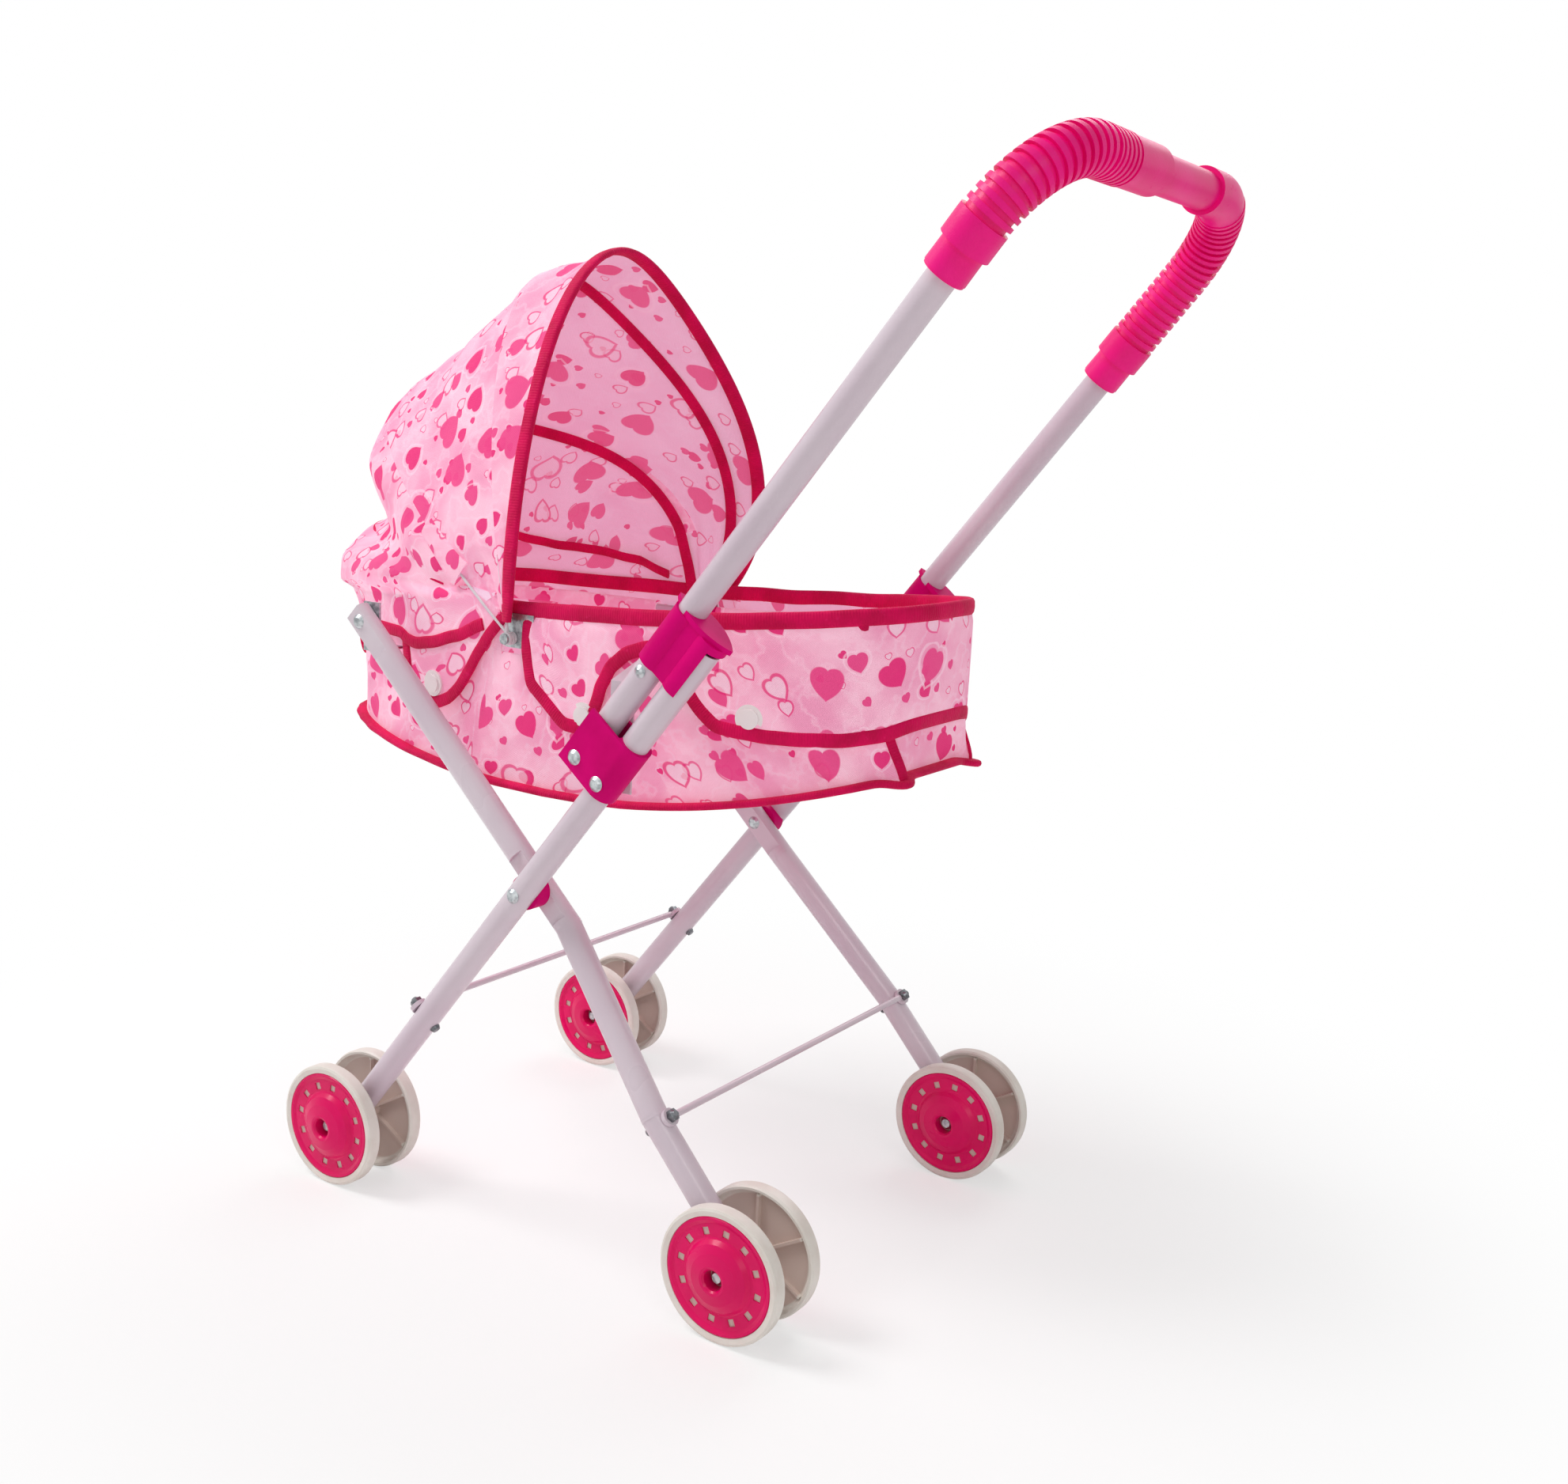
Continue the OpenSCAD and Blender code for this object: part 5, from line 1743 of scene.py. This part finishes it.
    def make_hood_binding(self) -> bpy.types.Object:
        """Tape along the hood's lower edge, round the flaps and up to the hinge on each side.

        Returns:
            The tape.
        """
        edge = [self.hood_place(along, 1.0) for along in spread(0, 1, 420)]
        up_left = [self.hood_place(0.0, share) for share in spread(0.7, 1.0, 8)[:-1]]
        up_right = [self.hood_place(1.0, share) for share in spread(1.0, 0.7, 8)[1:]]
        points = Basket.even([*up_left, *edge, *up_right], self.tape_step)
        normals = [self.tub_away(point) for point in points]
        return self.sew_tape("hood_binding", points, normals, TapeSize.HOOD_BINDING)

    def make_flap_seam(self, side: Side) -> bpy.types.Object:
        """Tape outside the hood over the seam from which a flap hangs.

        Args:
            side: Side of the stroller.

        Returns:
            The tape.
        """
        run = self.arch_steps + 1 + self.drop_steps
        points = []
        for off in spread(FLAP_SEAM[0][0], FLAP_SEAM[-1][0], 39):
            top = self.hood_top(off)
            drop = (top - follow(FLAP_SEAM, off)) / max(top - follow(HOOD_EDGE, off), 0.01)
            share = (self.arch_steps + 1 + self.drop_steps * clamp(drop, 0.0, 0.97)) / run
            points.append(self.hood_place(0.5 + side.value * off / (2 * self.hood_turn), share))
        points = Basket.even(points, self.tape_step)
        normals = [self.tub_away(point) for point in points]
        points = [point + normal * 0.0007 for point, normal in zip(points, normals)]
        return self.sew_tape(f"flap_seam_{side.word}", points, normals, TapeSize.FLAP_SEAM)

    def make_edge_binding(self) -> bpy.types.Object:
        """Wide tape over the hoop at the canopy's open edge.

        Returns:
            The tape.
        """
        turns = spread(2.5, 177.5, 150)
        points = [self.shape.point(self.shape.front_edge + 0.3, turn, -0.0012) for turn in turns]
        normals = [self.shape.normal(self.shape.front_edge + 1, turn) for turn in turns]
        return self.sew_tape("canopy_edge_binding", points, normals, TapeSize.CANOPY_EDGE, "canopy_rear")

    def make_inner_tape(self, name: str, angle: float, body: str, low: float) -> bpy.types.Object:
        """Tape inside the canopy that holds a hoop's wire.

        Args:
            name: Name of the piece.
            angle: The hoop's angle.
            body: The hoop's body.
            low: Degrees from the left foot to the tape's end.

        Returns:
            The tape.
        """
        turns = spread(low, 176, 140)
        points = [self.shape.point(angle, turn, -self.hoop_depth * (1 + ease(turn, 145, 165)))
                  for turn in turns]
        normals = [self.shape.normal(angle, turn) for turn in turns]
        return self.sew_tape(name, points, normals, TapeSize.HOOP, body)

    def make_low_tape(self) -> bpy.types.Object:
        """Tape along the seam inside the hood, a little above the rim.

        Returns:
            The tape.
        """
        points = []
        for along in spread(0.075, 0.99, 140):
            off = -self.hood_turn + 2 * self.hood_turn * along
            point = self.hood_place(along, self.low_seam - 0.02 * math.cos(math.radians(off)) ** 2)
            points.append(point - self.hood_away(point) * (0.0027 + 0.002 * ease(along, 0.85, 0.95)))
        points = Basket.even(points, 0.003)
        return self.sew_tape("hood_seam_tape", points, [self.hood_away(point) for point in points],
                             TapeSize.HOOD_SEAM)

    def make_sleeve(self, side: Side) -> bpy.types.Object:
        """The open end of the cloth tunnel from which the head hoop's wire comes out.

        Args:
            side: Side of the stroller.

        Returns:
            The sleeve.
        """
        angle = self.shape.head_hoop

        def across_at(turn: float) -> float:
            """Degrees across at that many degrees from this side's foot."""
            return turn if side is Side.LEFT else 180 - turn

        def place(along: float, across: float) -> Vector:
            """A point of the sleeve: along it, and round it.

            Args:
                along: Share of the way along.
                across: Share of the way across.

            Returns:
                Its place.
            """
            turn = across_at(self.sleeve_turn + self.sleeve_length * along)
            run = self.shape.point(angle, turn + 0.5) - self.shape.point(angle, turn - 0.5)
            normal = self.shape.normal(angle, turn)
            flat = run.normalized().cross(normal)
            around = 2 * math.pi * across
            flare = 1 + self.sleeve_flare * (1 - along) ** 2
            flare += self.sleeve_ruffle * math.sin(3 * around) * (1 - along)
            wide, deep = self.sleeve_half[0] * math.cos(around), self.sleeve_half[1] * math.sin(around)
            return self.shape.point(angle, turn, -0.0002) + (flat * wide + normal * deep) * flare

        piece = ClothShop.sheet(f"hoop_sleeve_{side.word}", self.sleeve_grid, place,
                                self.shape.point(angle, across_at(20)), self.panel_thick, ring=True)
        self.finishes.fit(piece, self.finishes.cloth, "canopy_front")
        return piece

# ---- Studio --------------------------------------------------------------------------------


@dataclass(frozen=True)
class Lamp:
    """A soft square lamp that looks at the stroller, with its side in metres and its power in watts."""

    name: str
    at: tuple[float, float, float]
    side: float
    power: float

    def build(self) -> None:
        """Hangs the lamp."""
        lamp = bpy.data.lights.new(self.name, "AREA")
        lamp.size, lamp.energy = self.side, self.power
        holder = bpy.data.objects.new(self.name, lamp)
        bpy.context.scene.collection.objects.link(holder)
        holder.location = self.at
        look = Vector((0, 0, 0.25)) - Vector(self.at)
        holder.rotation_euler = look.to_track_quat("-Z", "Y").to_euler()


@dataclass
class Studio:
    """Pale floor, soft lamps, white surroundings and the camera, whose angles are in degrees."""

    eye: Vector
    yaw: float = 32.868
    pitch: float = -11.125
    roll: float = 2.996
    lens: float = 38.92
    sensor: float = 36.0
    floor_size: float = 24.0
    lamps: tuple[Lamp, ...] = (
        Lamp("key_lamp", (-1.25, -0.75, 2.0), 0.9, 30.0),
        Lamp("fill_lamp", (1.9, -1.3, 1.3), 1.0, 7.0),
        Lamp("back_lamp", (-0.2, 1.7, 1.9), 1.2, 12.0))

    def build(self) -> None:
        """Sets the stage."""
        self.make_floor()
        self.make_world()
        for lamp in self.lamps:
            lamp.build()
        self.make_camera()
        bpy.context.scene.view_settings.view_transform = "Standard"

    def make_floor(self) -> None:
        """A plain pale floor under the wheels."""
        bpy.ops.object.select_all(action="DESELECT")
        bpy.ops.mesh.primitive_plane_add(size=self.floor_size, location=(0, 0, 0))
        floor = bpy.context.object
        floor.name = "studio_floor"
        sheet = NodeSheet("pale_floor")
        x, y, _ = sheet.split(sheet.coordinates("Object"))
        matt = sheet.add("ShaderNodeBsdfPrincipled", {}, {
            "Base Color": tint(252, 252, 252), "Roughness": 0.9, "Specular IOR Level": 0.1})
        white = sheet.add("ShaderNodeEmission", {}, {"Strength": 1.0})
        seen = sheet.add("ShaderNodeLightPath", {}, {}, "Is Camera Ray")
        far = 0.55 + 0.45 * (x * x + y * y).math("SQRT").step(0.22, 0.6)
        sheet.add("ShaderNodeOutputMaterial", {}, {0: sheet.add("ShaderNodeMixShader", {}, {
            0: far * seen, 1: matt, 2: white})})
        floor.data.materials.append(sheet.owner)

    @staticmethod
    def make_world() -> None:
        """Soft even light from all round, and white where the camera or gloss looks past the object."""
        world = bpy.data.worlds.new("studio")
        bpy.context.scene.world = world
        sheet = NodeSheet("studio", world)
        camera = sheet.add("ShaderNodeLightPath", {}, {}, "Is Camera Ray")
        seen = camera + camera.beside("Is Glossy Ray") + camera.beside("Is Transmission Ray")
        soft = sheet.add("ShaderNodeBackground", {}, {"Color": (1.0, 0.99, 0.98, 1.0), "Strength": 0.42})
        white = sheet.add("ShaderNodeBackground", {}, {"Color": (1.0, 1.0, 1.0, 1.0), "Strength": 1.0})
        shown = sheet.add("ShaderNodeMixShader", {}, {0: seen > 0.5, 1: soft, 2: white})
        sheet.add("ShaderNodeOutputWorld", {}, {0: shown})
    def make_camera(self) -> None:
        """Adds the camera."""
        yaw, pitch, roll = (math.radians(a) for a in (self.yaw, self.pitch, self.roll))
        look = Vector((-math.sin(yaw) * math.cos(pitch), math.cos(yaw) * math.cos(pitch), math.sin(pitch)))
        right = look.cross(Vector((0, 0, 1))).normalized()
        up = right.cross(look)
        right, up = (right * math.cos(roll) + up * math.sin(roll),
                     up * math.cos(roll) - right * math.sin(roll))
        camera = bpy.data.objects.new("camera", bpy.data.cameras.new("camera"))
        camera.data.lens = self.lens
        camera.data.sensor_width = self.sensor
        camera.data.clip_start, camera.data.clip_end = 0.01, 50.0
        turn = Matrix((right, up, -look)).transposed().to_4x4()
        camera.matrix_world = Matrix.Translation(self.eye) @ turn
        bpy.context.scene.collection.objects.link(camera)
        bpy.context.scene.camera = camera


# Place of the camera: x from the canopy's hinge, y and z in the frame
EYE = (0.59658, -0.73967, 0.43666)


def canopy_hinge() -> Vector:
    """Where the frame's canopy joint turns.

    Returns:
        The hinge's place.
    """
    for joint in frame["joints"]:
        if joint["name"] == "canopy_fold":
            return Vector(joint["pos_m"])
    raise ValueError("the frame has no joint named canopy_fold")


def main() -> None:
    """Builds the stroller's soft parts, finishes the rest and sets the stage."""
    logging.basicConfig(level=logging.INFO, format="%(name)s: %(message)s")
    finishes = Finishes()
    Chassis(finishes).build()
    Wheels(finishes).build()
    low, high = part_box("basket_tub")
    shape = BasketShape(centre_x=(low.x + high.x) / 2, half_length=(high.x - low.x) / 2)
    hinge = canopy_hinge()
    Basket(finishes, shape, hinge.x).build()
    Canopy(finishes, CanopyShape(hinge), shape).build()
    Studio(eye=Vector((hinge.x + EYE[0], EYE[1], EYE[2]))).build()


if __name__ == "__main__":
    main()
